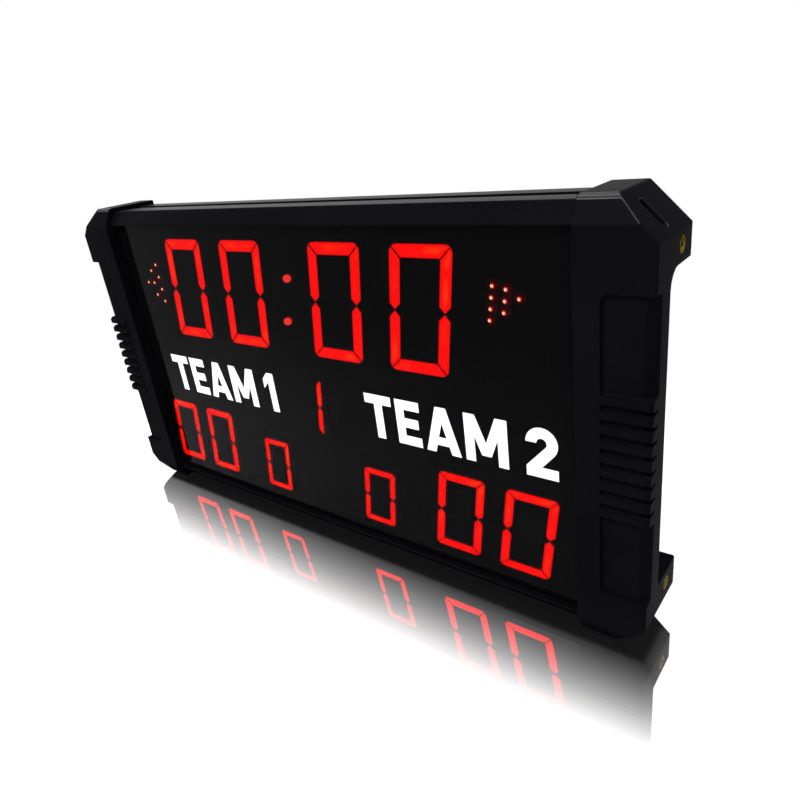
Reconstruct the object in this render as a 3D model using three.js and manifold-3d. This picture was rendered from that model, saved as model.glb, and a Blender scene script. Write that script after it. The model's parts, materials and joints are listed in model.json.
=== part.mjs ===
// Portable electronic scoreboard: a black aluminium and plastic case, 621 mm wide, with red
// seven-segment digits behind a smoked window. The rows of digits set its width.
// Millimetres, +X right, +Y back, +Z up. The origin is on the standing surface, under the
// middle of the case.

import * as THREE from "three";
import { mergeVertices } from "three/addons/utils/BufferGeometryUtils.js";
import Module from "manifold-3d";

const wasm = await Module();
wasm.setup();

// Driving dimensions of the case
const boardHeight = 326;
const capDepth = 63;
const capWidth = 50.5;
const capMidDepth = 25.5;
const capBevelDepth = 9.7;
const capBevelHeight = 16.9;
const cornerChamfer = 26;
const topFootHeight = 47.4;
const bottomFootHeight = 51.3;
const footFillet = 12;
const capWall = 3.4;
const capRearWall = 3;
const windowSetback = 11.2;
const windowOverlap = 4;
const clearance = 0.3;
const overrun = 2;

// Grip recess and ribs on the outer front edge of an end cap
const recessInset = 17.6;
const recessDepth = 2.8;
const recessLow = 49;
const recessHigh = 56;
const recessCorner = 5;
const gripBevelWidth = 6.5;
const gripBevelDepth = 6.4;
const ribCount = 9;
const ribPitch = 10.5;
const ribBase = 8.2;
const ribTip = 3.6;
const ribProud = 1.5;
const ribRoot = 0.8;
const ribCornerCut = 3;

// Hanging slot in the top corner of an end cap, and the threaded inserts in its side
const slotLength = 23;
const slotWidth = 7.5;
const slotFromWindow = 15.6;
const slotBelowMiddle = 1.6;
const insertDiameter = 11;
const insertLength = 12;
const insertThread = 5;
const insertFromWindow = 32;
const insertFromTop = 35.7;
const insertFromBottom = 40;
const insertBossDiameter = 18;
const insertBossFloor = 2.6;

// Extruded rail: heights run from its outer face inwards, depths from the window backwards
const railHeight = 14;
const railEndInset = 28.5;
const railLipDepth = 5.1;
const railLipFace = 1.6;
const railBevelTop = 3.1;
const railRound = 1.6;
const railWall = 2;
const windowSlotDepth = 5.5;
const grooveStart = 22.4;
const grooveNeck = 10.1;
const grooveLip = 1.8;
const grooveUndercut = 2;
const grooveDepth = 6.3;
const railLegHeight = 12;
const railLegThickness = 2.3;

// Window and the sheet-metal back
const windowThickness = 2;
const backThickness = 2;
const flangeThickness = 2;
const panelScrewFromEdge = 46;
const ventLength = 34;
const ventWidth = 3;
const ventPitch = 8;
const ventCount = 5;
const ventGroupX = 110;
const ventBelowTop = 46;

// Countersunk screws that hold the caps, and pan-head screws that hold the back
const capScrew = { shank: 3.4, head: 7, headHeight: 1.9, length: 9.5, fromSide: 37 };
const panelScrew = { shank: 3.4, head: 7.4, headHeight: 2.1, length: 5.5 };
const screwRecessDiameter = 3;
const screwRecessDepth = 1;

// Seven-segment digits: the lit figure, upright, and the case that holds it
const digitLean = 0.144;
const strokeShare = 0.098;
const gapShare = 0.011;
const cornerShare = 0.65;
const digitKinds = {
  clock: { width: 56.6, height: 101.6, caseWidth: 85, caseHeight: 121, depth: 14 },
  score: { width: 44.5, height: 76.2, caseWidth: 60, caseHeight: 91, depth: 12 },
  small: { width: 35.7, height: 58.4, caseWidth: 48, caseHeight: 70, depth: 12 },
};
const moduleWall = 1.6;
const moduleFace = 2;
const lensPlate = 1.8;
const lensSink = 0.3;

// Layout of the figures, as gaps between their cases and to the edges of the window
const clockLeftGap = 27;
const clockRightGap = 40.7;
const clockColonGap = 32.6;
const clockGap = 1.5;
const clockTopGap = 4.5;
const scoreGap = 3.6;
const scoreLowGap = 5.2;
const homeFoulGap = 36.5;
const foulGap = 90.9;
const guestFoulGap = 34.8;
const guestEdgeGap = 17.7;
const foulLowGap = 6.8;
const periodFromClockCentre = 1.3;
const periodTopGap = 7.7;

// Colon lamps and the two arrows of small lamps
const colonLamp = { diameter: 9.6, collar: 11.4, collarHeight: 2, rise: 20, spread: 5 };
const colonFromCentre = { x: -3.5, z: -2.3 };
const arrowLamp = { diameter: 5, margin: 4.5, base: 6.5, root: 1 };
const arrowColumns = [4, 3, 1];
const homeArrow = { columnPitch: 11, rowPitch: 13, gap: 7.1, above: 4.2, spread: 0, climb: 0 };
const guestArrow = { columnPitch: 11, rowPitch: 8.3, gap: 20, above: 11, spread: 1.25, climb: 2.2 };

// Circuit boards and what carries them
const boardThickness = 1.6;
const clockBoardMargin = { left: 39, right: 52, low: 1.5, high: 1.8 };
const scoreBoardMargin = { left: 3.5, right: 3.5, low: 2.3, high: 1.5 };
const standoffAcross = 6.4;
const standoffStud = 2.8;
const standoffStudLength = 1.8;
const standoffInset = { x: 22, z: 11 };
const scoreStandoffInset = { x: 28.2, z: 26.6 };
const scoreLowStandoffZ = 20;
const chip = { width: 12.8, height: 7.5, thickness: 2.4 };
const controlBoard = { width: 120, height: 86, x: -2, z: 139 };
const controlShares = {
  capacitors: [[0.3, 0.78], [0.45, 0.78]],
  microcontroller: [0.42, 0.38],
  header: [0.75, 0.12],
  heatSink: [0.16, 0.4],
  radio: [0.81, 0.72],
};
const boardStud = { diameter: 6, length: 6, pin: 2.6, pinLength: 3.2, inset: 6 };
const capacitor = { diameter: 10, height: 12 };
const microcontroller = { side: 14, thickness: 1.8 };
const heatSink = { width: 22, height: 12, fins: 5, finThickness: 1.4, base: 2.4, rise: 12 };
const header = { width: 26, height: 6, rise: 8 };
const radioBoard = { width: 34, height: 24, stand: 4, can: 18, canHeight: 3 };

// Horn behind its grille, power inlet and power switch, all on the back
const horn = { fromSide: 111.7, z: 150, body: 58, depth: 20, flange: 70, flangeThickness: 3 };
const hornMouth = { diameter: 44, depth: 12, throat: 26 };
const grilleHole = 4;
const grilleRings = 3;
const grillePitch = 6.6;
const inlet = { fromSide: 91.7, z: 62, body: 11, flange: 15, flangeThickness: 1.8, length: 15 };
const inletBore = { diameter: 6.4, depth: 10, pin: 2, pinSink: 1.5 };
const switchPlace = { fromSide: 56.7, z: 62 };
const switchBody = { width: 13.2, height: 19.2, depth: 15, wall: 1.3, cavity: 11 };
const switchBezel = { width: 16, height: 22, thickness: 1.2 };
const rocker = { axisSink: 2.9, reach: 7.4, middle: 2, belly: 4.5 };
const rockerTiltDegrees = 10;
const rockerShares = { flankReach: 0.88, flankDepth: 0.35, bellyReach: 0.42 };
const rockerPin = { diameter: 2, length: 0.7, boreDepth: 0.8 };

// The wider row of figures sets the room inside the case, and so its width
const homeArrowWidth = arrowLamp.margin + homeArrow.columnPitch * (arrowColumns.length - 1);
const guestArrowWidth = arrowLamp.margin + guestArrow.columnPitch * (arrowColumns.length - 1);
const clockRowWidth = clockLeftGap + homeArrowWidth + homeArrow.gap
  + 4 * digitKinds.clock.caseWidth + 2 * clockGap + clockColonGap
  + guestArrow.gap + guestArrowWidth + clockRightGap;
const scoreRowWidth = clearance + 4 * digitKinds.score.caseWidth + 2 * scoreGap
  + homeFoulGap + 2 * digitKinds.small.caseWidth + foulGap + guestFoulGap + guestEdgeGap;
const insideHalfWidth = Math.max(clockRowWidth, scoreRowWidth) / 2;

// Levels worked out from the values above
const bodyHalfWidth = insideHalfWidth + flangeThickness;
const halfWidth = bodyHalfWidth + clearance - windowOverlap + capWidth;
const frontY = -(capDepth + ribProud) / 2;
const backY = -frontY;
const capFrontY = frontY + ribProud;
const windowY = capFrontY + windowSetback;
const bodyBackY = backY - capRearWall - clearance;
const capMidY = capFrontY + capMidDepth;
const capLipX = halfWidth - capWidth;
const capBodyX = capLipX + windowOverlap;
const railLowZ = capWall + clearance;
const railTopZ = boardHeight - railLowZ;
const windowTopZ = railTopZ - railHeight;
const windowLowZ = boardHeight - windowTopZ;
const railEndX = halfWidth - railEndInset;
const backInnerY = bodyBackY - backThickness;
const digitFaceY = windowY + windowThickness + clearance;
const clockBoardY = digitFaceY + digitKinds.clock.depth + clearance;
const scoreBoardY = digitFaceY + digitKinds.score.depth + clearance;
const controlBoardY = backInnerY - boardStud.length - clearance - boardThickness;
const hornX = insideHalfWidth - horn.fromSide;
const inletX = inlet.fromSide - insideHalfWidth;
const switchX = switchPlace.fromSide - insideHalfWidth;
const ribCentreZ = (recessLow + boardHeight - recessHigh) / 2;
const coarse = 12;
const fine = 20;
const arcSteps = 4;
const bulbSides = 8;

// Places of the digits: x across the board and z up from the standing surface
const clockZ = windowTopZ - clockTopGap - digitKinds.clock.caseHeight / 2;
const clockLowZ = clockZ - digitKinds.clock.caseHeight / 2;
const scoreZ = windowLowZ + scoreLowGap + digitKinds.score.caseHeight / 2;
const foulZ = windowLowZ + foulLowGap + digitKinds.small.caseHeight / 2;
const periodZ = clockLowZ - periodTopGap - digitKinds.small.caseHeight / 2;
const clockPitch = digitKinds.clock.caseWidth + clockGap;
const clockInnerX = (clockColonGap + digitKinds.clock.caseWidth) / 2;
const homeArrowX = clockLeftGap + homeArrowWidth - insideHalfWidth;
const clockCaseLeftX = homeArrowX + homeArrow.gap;
const clockCentreX = clockCaseLeftX + clockPitch + clockInnerX + digitKinds.clock.caseWidth / 2;
const clockCaseRightX = clockCentreX + clockPitch + clockInnerX + digitKinds.clock.caseWidth / 2;
const periodX = clockCentreX + periodFromClockCentre;
const scorePitch = digitKinds.score.caseWidth + scoreGap;
const foulFromScore = (digitKinds.score.caseWidth + digitKinds.small.caseWidth) / 2;
const homeTensX = clearance + digitKinds.score.caseWidth / 2 - insideHalfWidth;
const guestOnesX = insideHalfWidth - guestEdgeGap - digitKinds.score.caseWidth / 2;
const homeFoulX = homeTensX + scorePitch + foulFromScore + homeFoulGap;
const guestFoulX = guestOnesX - scorePitch - foulFromScore - guestFoulGap;
const digitPlaces = [
  { name: "clock_digit_1", kind: "clock", x: clockCentreX - clockInnerX - clockPitch, z: clockZ },
  { name: "clock_digit_2", kind: "clock", x: clockCentreX - clockInnerX, z: clockZ },
  { name: "clock_digit_3", kind: "clock", x: clockCentreX + clockInnerX, z: clockZ },
  { name: "clock_digit_4", kind: "clock", x: clockCentreX + clockInnerX + clockPitch, z: clockZ },
  { name: "home_score_tens", kind: "score", x: homeTensX, z: scoreZ },
  { name: "home_score_ones", kind: "score", x: homeTensX + scorePitch, z: scoreZ },
  { name: "guest_score_tens", kind: "score", x: guestOnesX - scorePitch, z: scoreZ },
  { name: "guest_score_ones", kind: "score", x: guestOnesX, z: scoreZ },
  { name: "home_fouls", kind: "small", x: homeFoulX, z: foulZ },
  { name: "guest_fouls", kind: "small", x: guestFoulX, z: foulZ },
  { name: "period", kind: "small", x: periodX, z: periodZ },
];
const clockBoard = {
  left: clockCaseLeftX - clockBoardMargin.left,
  right: clockCaseRightX + clockBoardMargin.right,
  low: clockLowZ + clockBoardMargin.low,
  high: windowTopZ - clockTopGap - clockBoardMargin.high,
};
const scoreBoard = {
  left: -insideHalfWidth + scoreBoardMargin.left,
  right: insideHalfWidth - scoreBoardMargin.right,
  low: windowLowZ + scoreBoardMargin.low,
  high: clockLowZ - periodTopGap + scoreBoardMargin.high,
};

// Materials
function finish(color, roughness, metalness) {
  return new THREE.MeshStandardMaterial({ color, roughness, metalness });
}

const capPlastic = finish(0x111113, 0.55, 0);
const anodised = finish(0x141416, 0.35, 1);
const smokedAcrylic = new THREE.MeshStandardMaterial({
  color: 0x0a0a0b,
  roughness: 0.05,
  metalness: 0,
  transparent: true,
  opacity: 0.45,
});
const paintedSheet = finish(0x151516, 0.5, 0.2);
const modulePlastic = finish(0x0b0b0c, 0.6, 0);
const redLens = finish(0xff1600, 0.4, 0);
const redLamp = finish(0xff2a10, 0.25, 0);
const circuitGreen = finish(0x123a22, 0.5, 0);
const blackPlastic = finish(0x0d0d0e, 0.4, 0);
const brass = finish(0xc9973a, 0.3, 1);
const blackSteel = finish(0x1b1b1c, 0.4, 1);
const nickel = finish(0x9a9a98, 0.3, 1);

// Solids: a closed three.js mesh becomes a body that can be joined and cut
function solid(geometry) {
  const bare = geometry.clone();
  bare.deleteAttribute("normal");
  bare.deleteAttribute("uv");
  const merged = mergeVertices(bare);
  const corners = merged.index.array;
  const kept = [];
  for (let i = 0; i < corners.length; i += 3) {
    const [a, b, c] = [corners[i], corners[i + 1], corners[i + 2]];
    if (a !== b && b !== c && c !== a) {
      kept.push(a, b, c);
    }
  }
  return new wasm.Manifold(new wasm.Mesh({
    numProp: 3,
    vertProperties: merged.attributes.position.array,
    triVerts: new Uint32Array(kept),
  }));
}

function surface(body) {
  const mesh = body.getMesh();
  const geometry = new THREE.BufferGeometry();
  geometry.setAttribute("position", new THREE.BufferAttribute(mesh.vertProperties, 3));
  geometry.setIndex(new THREE.BufferAttribute(mesh.triVerts, 1));
  geometry.computeVertexNormals();
  return geometry;
}

function join(...bodies) {
  return bodies.reduce((whole, body) => whole.add(body));
}

function cut(body, ...tools) {
  return tools.reduce((rest, tool) => rest.subtract(tool), body);
}

function common(...bodies) {
  return bodies.reduce((shared, body) => shared.intersect(body));
}

// Outlines: lists of [across, up] points, anticlockwise
function outline(points) {
  return new THREE.Shape(points.map(([a, b]) => new THREE.Vector2(a, b)));
}

function arc(centreA, centreB, radius, fromDegrees, toDegrees, steps = arcSteps) {
  const points = [];
  for (let i = 0; i <= steps; i += 1) {
    const angle = THREE.MathUtils.degToRad(fromDegrees + ((toDegrees - fromDegrees) * i) / steps);
    points.push([centreA + radius * Math.cos(angle), centreB + radius * Math.sin(angle)]);
  }
  return points;
}

function rectangle(a, b) {
  return [[a[0], b[0]], [a[1], b[0]], [a[1], b[1]], [a[0], b[1]]];
}

// Moves every edge of an anticlockwise outline outwards, or inwards by a negative distance
function grow(points, distance) {
  return points.map((point, i) => {
    const before = points[(i + points.length - 1) % points.length];
    const after = points[(i + 1) % points.length];
    const [a, b] = [edgeNormal(before, point), edgeNormal(point, after)];
    const scale = distance / (1 + a[0] * b[0] + a[1] * b[1]);
    return [point[0] + scale * (a[0] + b[0]), point[1] + scale * (a[1] + b[1])];
  });
}

function edgeNormal(from, to) {
  const length = Math.hypot(to[0] - from[0], to[1] - from[1]);
  return [(to[1] - from[1]) / length, (from[0] - to[0]) / length];
}

const axisX = new THREE.Vector3(1, 0, 0);
const axisY = new THREE.Vector3(0, 1, 0);
const axisZ = new THREE.Vector3(0, 0, 1);
const sectionAcrossX = new THREE.Matrix4().makeBasis(axisY, axisZ, axisX);
const faceAcrossY = new THREE.Matrix4().makeBasis(axisX, axisZ, axisY.clone().negate());

function extrude(shape, length) {
  return new THREE.ExtrudeGeometry(shape, { depth: length, bevelEnabled: false, steps: 1 });
}

// A section drawn in Y and Z, run from one x to another
function runX(shape, fromX, toX) {
  return solid(extrude(shape, toX - fromX).applyMatrix4(sectionAcrossX).translate(fromX, 0, 0));
}

// A face drawn in X and Z, run from one y back to another
function runY(shape, fromY, toY) {
  return solid(extrude(shape, toY - fromY).applyMatrix4(faceAcrossY).translate(0, toY, 0));
}

// A plan drawn in X and Y, run from one z up to another
function runZ(shape, fromZ, toZ) {
  return solid(extrude(shape, toZ - fromZ).translate(0, 0, fromZ));
}

function block(x, y, z) {
  const geometry = new THREE.BoxGeometry(x[1] - x[0], y[1] - y[0], z[1] - z[0]);
  geometry.translate((x[0] + x[1]) / 2, (y[0] + y[1]) / 2, (z[0] + z[1]) / 2);
  return solid(geometry);
}

// Round bars along Y or X; a bar along Y may taper to another diameter at its far end
function barY(x, z, diameter, fromY, toY, sides = coarse, farDiameter = diameter) {
  const bar = new THREE.CylinderGeometry(farDiameter / 2, diameter / 2, toY - fromY, sides);
  return solid(bar.translate(x, (fromY + toY) / 2, z));
}

function barX(y, z, diameter, fromX, toX, sides = coarse) {
  const bar = new THREE.CylinderGeometry(diameter / 2, diameter / 2, toX - fromX, sides);
  return solid(bar.rotateZ(-Math.PI / 2).translate((fromX + toX) / 2, y, z));
}

// A turned piece: points of radius and y, from the axis round to the axis
function turned(points, sides = fine) {
  return solid(new THREE.LatheGeometry(points.map(([r, y]) => new THREE.Vector2(r, y)), sides));
}

function mirrored(geometry) {
  const flipped = geometry.clone().scale(-1, 1, 1);
  const index = flipped.index.array;
  for (let i = 0; i < index.length; i += 3) {
    [index[i + 1], index[i + 2]] = [index[i + 2], index[i + 1]];
  }
  flipped.computeVertexNormals();
  return flipped;
}

const board = new THREE.Group();

function place(name, geometry, material, position = [0, 0, 0]) {
  const mesh = new THREE.Mesh(geometry, material);
  mesh.name = name;
  mesh.position.set(...position);
  board.add(mesh);
}

// Section of the case between the end caps, outside the window
const lipY = windowY - railLipDepth;
const bevelTopY = windowY + railBevelTop;
const frameSection = [
  [windowY, windowLowZ],
  [lipY, windowLowZ],
  [lipY, windowLowZ - railLipFace],
  [bevelTopY, railLowZ + railRound],
  [bevelTopY + railRound, railLowZ],
  [bodyBackY, railLowZ],
  [bodyBackY, railTopZ],
  [bevelTopY + railRound, railTopZ],
  [bevelTopY, railTopZ - railRound],
  [lipY, windowTopZ + railLipFace],
  [lipY, windowTopZ],
  [windowY, windowTopZ],
];

const capScrewX = halfWidth - capScrew.fromSide;
const capScrewZ = [railLowZ + railHeight / 2, railTopZ - railHeight / 2];
const insertY = windowY + insertFromWindow;
const insertZ = [insertFromBottom, boardHeight - insertFromTop];

// Extruded rail, made for the top; the bottom one is the same extrusion turned over
function railSection(faceZ, inward) {
  const at = ([depth, height]) => [windowY + depth, faceZ + inward * height];
  const back = bodyBackY - windowY;
  const slotBack = windowThickness + clearance;
  const grooveEnd = grooveStart + grooveNeck;
  const leg = back - backThickness - clearance;
  const rim = [
    [-railLipDepth, railHeight],
    [-railLipDepth, railHeight - railLipFace],
    [railBevelTop, railRound],
    [railBevelTop + railRound, 0],
    [grooveStart, 0],
    [grooveStart, grooveLip],
    [grooveStart - grooveUndercut, grooveLip],
    [grooveStart - grooveUndercut, grooveDepth],
    [grooveEnd + grooveUndercut, grooveDepth],
    [grooveEnd + grooveUndercut, grooveLip],
    [grooveEnd, grooveLip],
    [grooveEnd, 0],
    [back, 0],
    [back, railHeight],
    [leg, railHeight],
    [leg, railHeight + railLegHeight],
    [leg - railLegThickness, railHeight + railLegHeight],
    [leg - railLegThickness, railHeight],
    [slotBack, railHeight],
    [slotBack, railHeight - windowSlotDepth],
    [-clearance, railHeight - windowSlotDepth],
    [-clearance, railHeight],
  ];
  const floor = railHeight - railWall;
  const frontChamber = [slotBack + railWall * 2, grooveStart - grooveUndercut - railWall];
  const underGroove = [grooveStart - grooveUndercut, grooveEnd + grooveUndercut];
  const rearChamber = [grooveEnd + grooveUndercut + railWall, back - railWall];
  const chambers = [
    rectangle(frontChamber, [railWall, floor]),
    rectangle(underGroove, [grooveDepth + railWall, floor]),
    rectangle(rearChamber, [railWall, floor]),
  ];
  return { rim: outline(rim.map(at)), chambers: chambers.map((c) => outline(c.map(at))) };
}

function rail(faceZ, inward) {
  const screwZ = faceZ + (inward * railHeight) / 2;
  const panelScrewZ = faceZ + inward * (railHeight + railLegHeight / 2);
  const section = railSection(faceZ, inward);
  const holes = section.chambers.map((chamber) => (
    runX(chamber, -railEndX - overrun, railEndX + overrun)
  ));
  for (const side of [-1, 1]) {
    const [fromY, toY] = [bodyBackY - railWall - overrun, bodyBackY + overrun];
    holes.push(barY(side * capScrewX, screwZ, capScrew.shank + 2 * clearance, fromY, toY));
    const legY = bodyBackY - backThickness - railLegThickness - overrun;
    const holeDiameter = panelScrew.shank + 2 * clearance;
    holes.push(barY(side * panelScrewX, panelScrewZ, holeDiameter, legY, bodyBackY));
  }
  return surface(cut(runX(section.rim, -railEndX, railEndX), ...holes));
}

const panelScrewX = bodyHalfWidth - panelScrewFromEdge;
const panelScrewZ = [
  windowLowZ + railLegHeight / 2,
  windowTopZ - railLegHeight / 2,
];
place("top_rail", rail(railTopZ, -1), anodised);
place("bottom_rail", rail(railLowZ, 1), anodised);

// End cap: a moulded cup over the ends of the frame, with a foot behind each corner
const capSection = [
  [capFrontY, capBevelHeight],
  [capFrontY + capBevelDepth, 0],
  [backY, 0],
  [backY, bottomFootHeight],
  [capMidY, bottomFootHeight],
  ...arc(
    capMidY + footFillet,
    boardHeight - topFootHeight - footFillet,
    footFillet,
    180,
    90,
  ),
  [backY, boardHeight - topFootHeight],
  [backY, boardHeight],
  [capFrontY + capBevelDepth, boardHeight],
  [capFrontY, boardHeight - capBevelHeight],
];
const capFace = [
  [capLipX - overrun, 0],
  [halfWidth - cornerChamfer, 0],
  [halfWidth, cornerChamfer],
  [halfWidth, boardHeight - cornerChamfer],
  [halfWidth - cornerChamfer, boardHeight],
  [capLipX - overrun, boardHeight],
];

function capShell() {
  const pocket = outline(grow(frameSection, clearance));
  const outside = common(
    runX(outline(capSection), capLipX, halfWidth),
    runY(outline(capFace), frontY - overrun, backY + overrun),
  );
  const mouth = runX(pocket, capLipX - overrun, capBodyX);
  const hollow = common(
    runX(pocket, capBodyX - overrun, halfWidth),
    runX(outline(grow(capSection, -capRearWall)), capBodyX - overrun, halfWidth),
    runY(outline(grow(capFace, -capWall)), frontY, backY),
  );
  const relief = block(
    [capBodyX + capWall, halfWidth - gripBevelWidth - capWall],
    [recessY + capWall, windowY],
    [recessLow, recessTopZ],
  );
  return cut(outside, mouth, hollow, relief);
}

const recessX = capLipX + recessInset;
const recessY = capFrontY + recessDepth;
const recessTopZ = boardHeight - recessHigh;
const gripBackY = recessY + gripBevelDepth;

function gripCuts() {
  const reach = halfWidth + overrun;
  const recess = [
    [reach, recessLow],
    [reach, recessTopZ],
    ...arc(recessX + recessCorner, recessTopZ - recessCorner, recessCorner, 90, 180),
    ...arc(recessX + recessCorner, recessLow + recessCorner, recessCorner, 180, 270),
  ];
  const bevelX = halfWidth - gripBevelWidth;
  const slope = gripBevelDepth / gripBevelWidth;
  const bevel = [
    [bevelX, recessY - overrun],
    [reach, recessY - overrun],
    [reach, gripBackY + overrun * slope],
    [bevelX, recessY],
  ];
  return [
    runY(outline(recess), capFrontY - overrun, recessY),
    runZ(outline(bevel), recessLow, recessTopZ),
  ];
}

function gripRib(z) {
  const rootY = gripBackY + ribRoot;
  const section = [
    [frontY, z - ribTip / 2],
    [recessY, z - ribBase / 2],
    [rootY, z - ribBase / 2],
    [rootY, z + ribBase / 2],
    [recessY, z + ribBase / 2],
    [frontY, z + ribTip / 2],
  ];
  const plan = [
    [recessX, frontY],
    [halfWidth - ribCornerCut, frontY],
    [halfWidth, frontY + ribCornerCut],
    [halfWidth, rootY],
    [recessX, rootY],
  ];
  return common(
    runX(outline(section), recessX, halfWidth),
    runZ(outline(plan), z - ribBase, z + ribBase),
  );
}

// Stadium-shaped hole square to the corner facet
function hangingSlot() {
  const straight = (slotLength - slotWidth) / 2;
  const stadium = [
    ...arc(straight, 0, slotWidth / 2, -90, 90),
    ...arc(-straight, 0, slotWidth / 2, 90, 270),
  ];
  const downFacet = new THREE.Vector3(1, 0, -1).normalize();
  const outOfFacet = new THREE.Vector3(1, 0, 1).normalize();
  const middle = new THREE.Vector3(
    halfWidth - cornerChamfer / 2,
    windowY + slotFromWindow,
    boardHeight - cornerChamfer / 2,
  );
  middle.addScaledVector(downFacet, slotBelowMiddle);
  middle.addScaledVector(outOfFacet, -capWall - overrun);
  const turn = new THREE.Matrix4().makeBasis(downFacet, axisY, outOfFacet);
  const geometry = extrude(outline(stadium), capWall + 2 * overrun).applyMatrix4(turn);
  return solid(geometry.translate(middle.x, middle.y, middle.z));
}

function endCap() {
  const additions = [];
  const holes = [...gripCuts(), hangingSlot()];
  for (const z of insertZ) {
    const floorX = halfWidth - insertLength - clearance;
    const bossX = floorX - insertBossFloor;
    const wallX = halfWidth - capWall / 2;
    additions.push(barX(insertY, z, insertBossDiameter, bossX, wallX, fine));
    const boreDiameter = insertDiameter + 2 * clearance;
    holes.push(barX(insertY, z, boreDiameter, floorX, halfWidth + overrun, fine));
  }
  for (const z of capScrewZ) {
    const hole = capScrew.shank + 2 * clearance;
    const flare = (capScrew.head - capScrew.shank) / capScrew.headHeight;
    const mouth = capScrew.head + 2 * clearance + flare * overrun;
    const headY = backY - capScrew.headHeight;
    const screwHoleY = backY - capRearWall - overrun;
    holes.push(barY(capScrewX, z, hole, screwHoleY, backY + overrun));
    holes.push(barY(capScrewX, z, hole, headY, backY + overrun, coarse, mouth));
  }
  const ribs = [];
  for (let i = 0; i < ribCount; i += 1) {
    ribs.push(gripRib(ribCentreZ + ribPitch * (i - (ribCount - 1) / 2)));
  }
  return surface(join(cut(join(capShell(), ...additions), ...holes), ...ribs));
}

const rightCap = endCap();
place("right_end_cap", rightCap, capPlastic);
place("left_end_cap", mirrored(rightCap), capPlastic);

// Threaded brass inserts in the sides, and the screws through the feet into the rails
const insertRing = surface(cut(
  barX(0, 0, insertDiameter, 0, insertLength, fine),
  barX(0, 0, insertThread, -overrun, insertLength + overrun, coarse),
));

function crossRecess(y) {
  return barY(0, 0, screwRecessDiameter, y - screwRecessDepth, y + overrun, coarse / 2);
}

function countersunkScrew() {
  const { shank, head, headHeight, length } = capScrew;
  const body = turned([
    [0, -length],
    [shank / 2, -length],
    [shank / 2, -headHeight],
    [head / 2, 0],
    [0, 0],
  ], coarse);
  return surface(cut(body, crossRecess(0)));
}

function panScrew() {
  const { shank, head, headHeight, length } = panelScrew;
  const body = turned([
    [0, -length],
    [shank / 2, -length],
    [shank / 2, 0],
    [head / 2, 0],
    [head / 2, headHeight / 2],
    [head / 3, headHeight],
    [0, headHeight],
  ], coarse);
  return surface(cut(body, crossRecess(headHeight)));
}

const levelNames = ["lower", "upper"];
const capScrewShape = countersunkScrew();
const panelScrewShape = panScrew();
for (const side of [-1, 1]) {
  const sideName = side < 0 ? "left" : "right";
  levelNames.forEach((level, i) => {
    const insertX = side < 0 ? -halfWidth : halfWidth - insertLength;
    place(`${sideName}_${level}_insert`, insertRing, brass, [insertX, insertY, insertZ[i]]);
    const capPlace = [side * capScrewX, backY, capScrewZ[i]];
    place(`${sideName}_${level}_cap_screw`, capScrewShape, blackSteel, capPlace);
    const panelPlace = [side * panelScrewX, bodyBackY + clearance, panelScrewZ[i]];
    place(`${sideName}_${level}_back_screw`, panelScrewShape, blackSteel, panelPlace);
  });
}

// Window: a smoked acrylic sheet in the slots of the rails
const windowReach = windowSlotDepth - clearance;
place("front_window", surface(block(
  [-bodyHalfWidth, bodyHalfWidth],
  [windowY, windowY + windowThickness],
  [windowLowZ - windowReach, windowTopZ + windowReach],
)), smokedAcrylic);

// Back: a folded sheet between the rails, with flanges that close the sides
function ventSlots() {
  const straight = (ventLength - ventWidth) / 2;
  const slots = [];
  for (const side of [-1, 1]) {
    for (let i = 0; i < ventCount; i += 1) {
      const z = windowTopZ - ventBelowTop - ventPitch * i;
      const x = side * ventGroupX;
      slots.push([
        ...arc(x + straight, z, ventWidth / 2, -90, 90, 2),
        ...arc(x - straight, z, ventWidth / 2, 90, 270, 2),
      ]);
    }
  }
  return slots;
}

function grilleHoles() {
  const holes = [];
  for (let ring = 0; ring <= grilleRings; ring += 1) {
    const count = ring === 0 ? 1 : 6 * ring;
    for (let i = 0; i < count; i += 1) {
      const angle = (i / count) * 2 * Math.PI;
      const x = hornX + ring * grillePitch * Math.cos(angle);
      const z = horn.z + ring * grillePitch * Math.sin(angle);
      holes.push(arc(x, z, grilleHole / 2, 0, 300, 5));
    }
  }
  return holes;
}

function aroundPoint(x, z, width, height) {
  return rectangle([x - width / 2, x + width / 2], [z - height / 2, z + height / 2]);
}

const controlStudPlaces = [];
for (const a of [-1, 1]) {
  for (const b of [-1, 1]) {
    controlStudPlaces.push([
      controlBoard.x + a * (controlBoard.width / 2 - boardStud.inset),
      controlBoard.z + b * (controlBoard.height / 2 - boardStud.inset),
    ]);
  }
}

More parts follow.
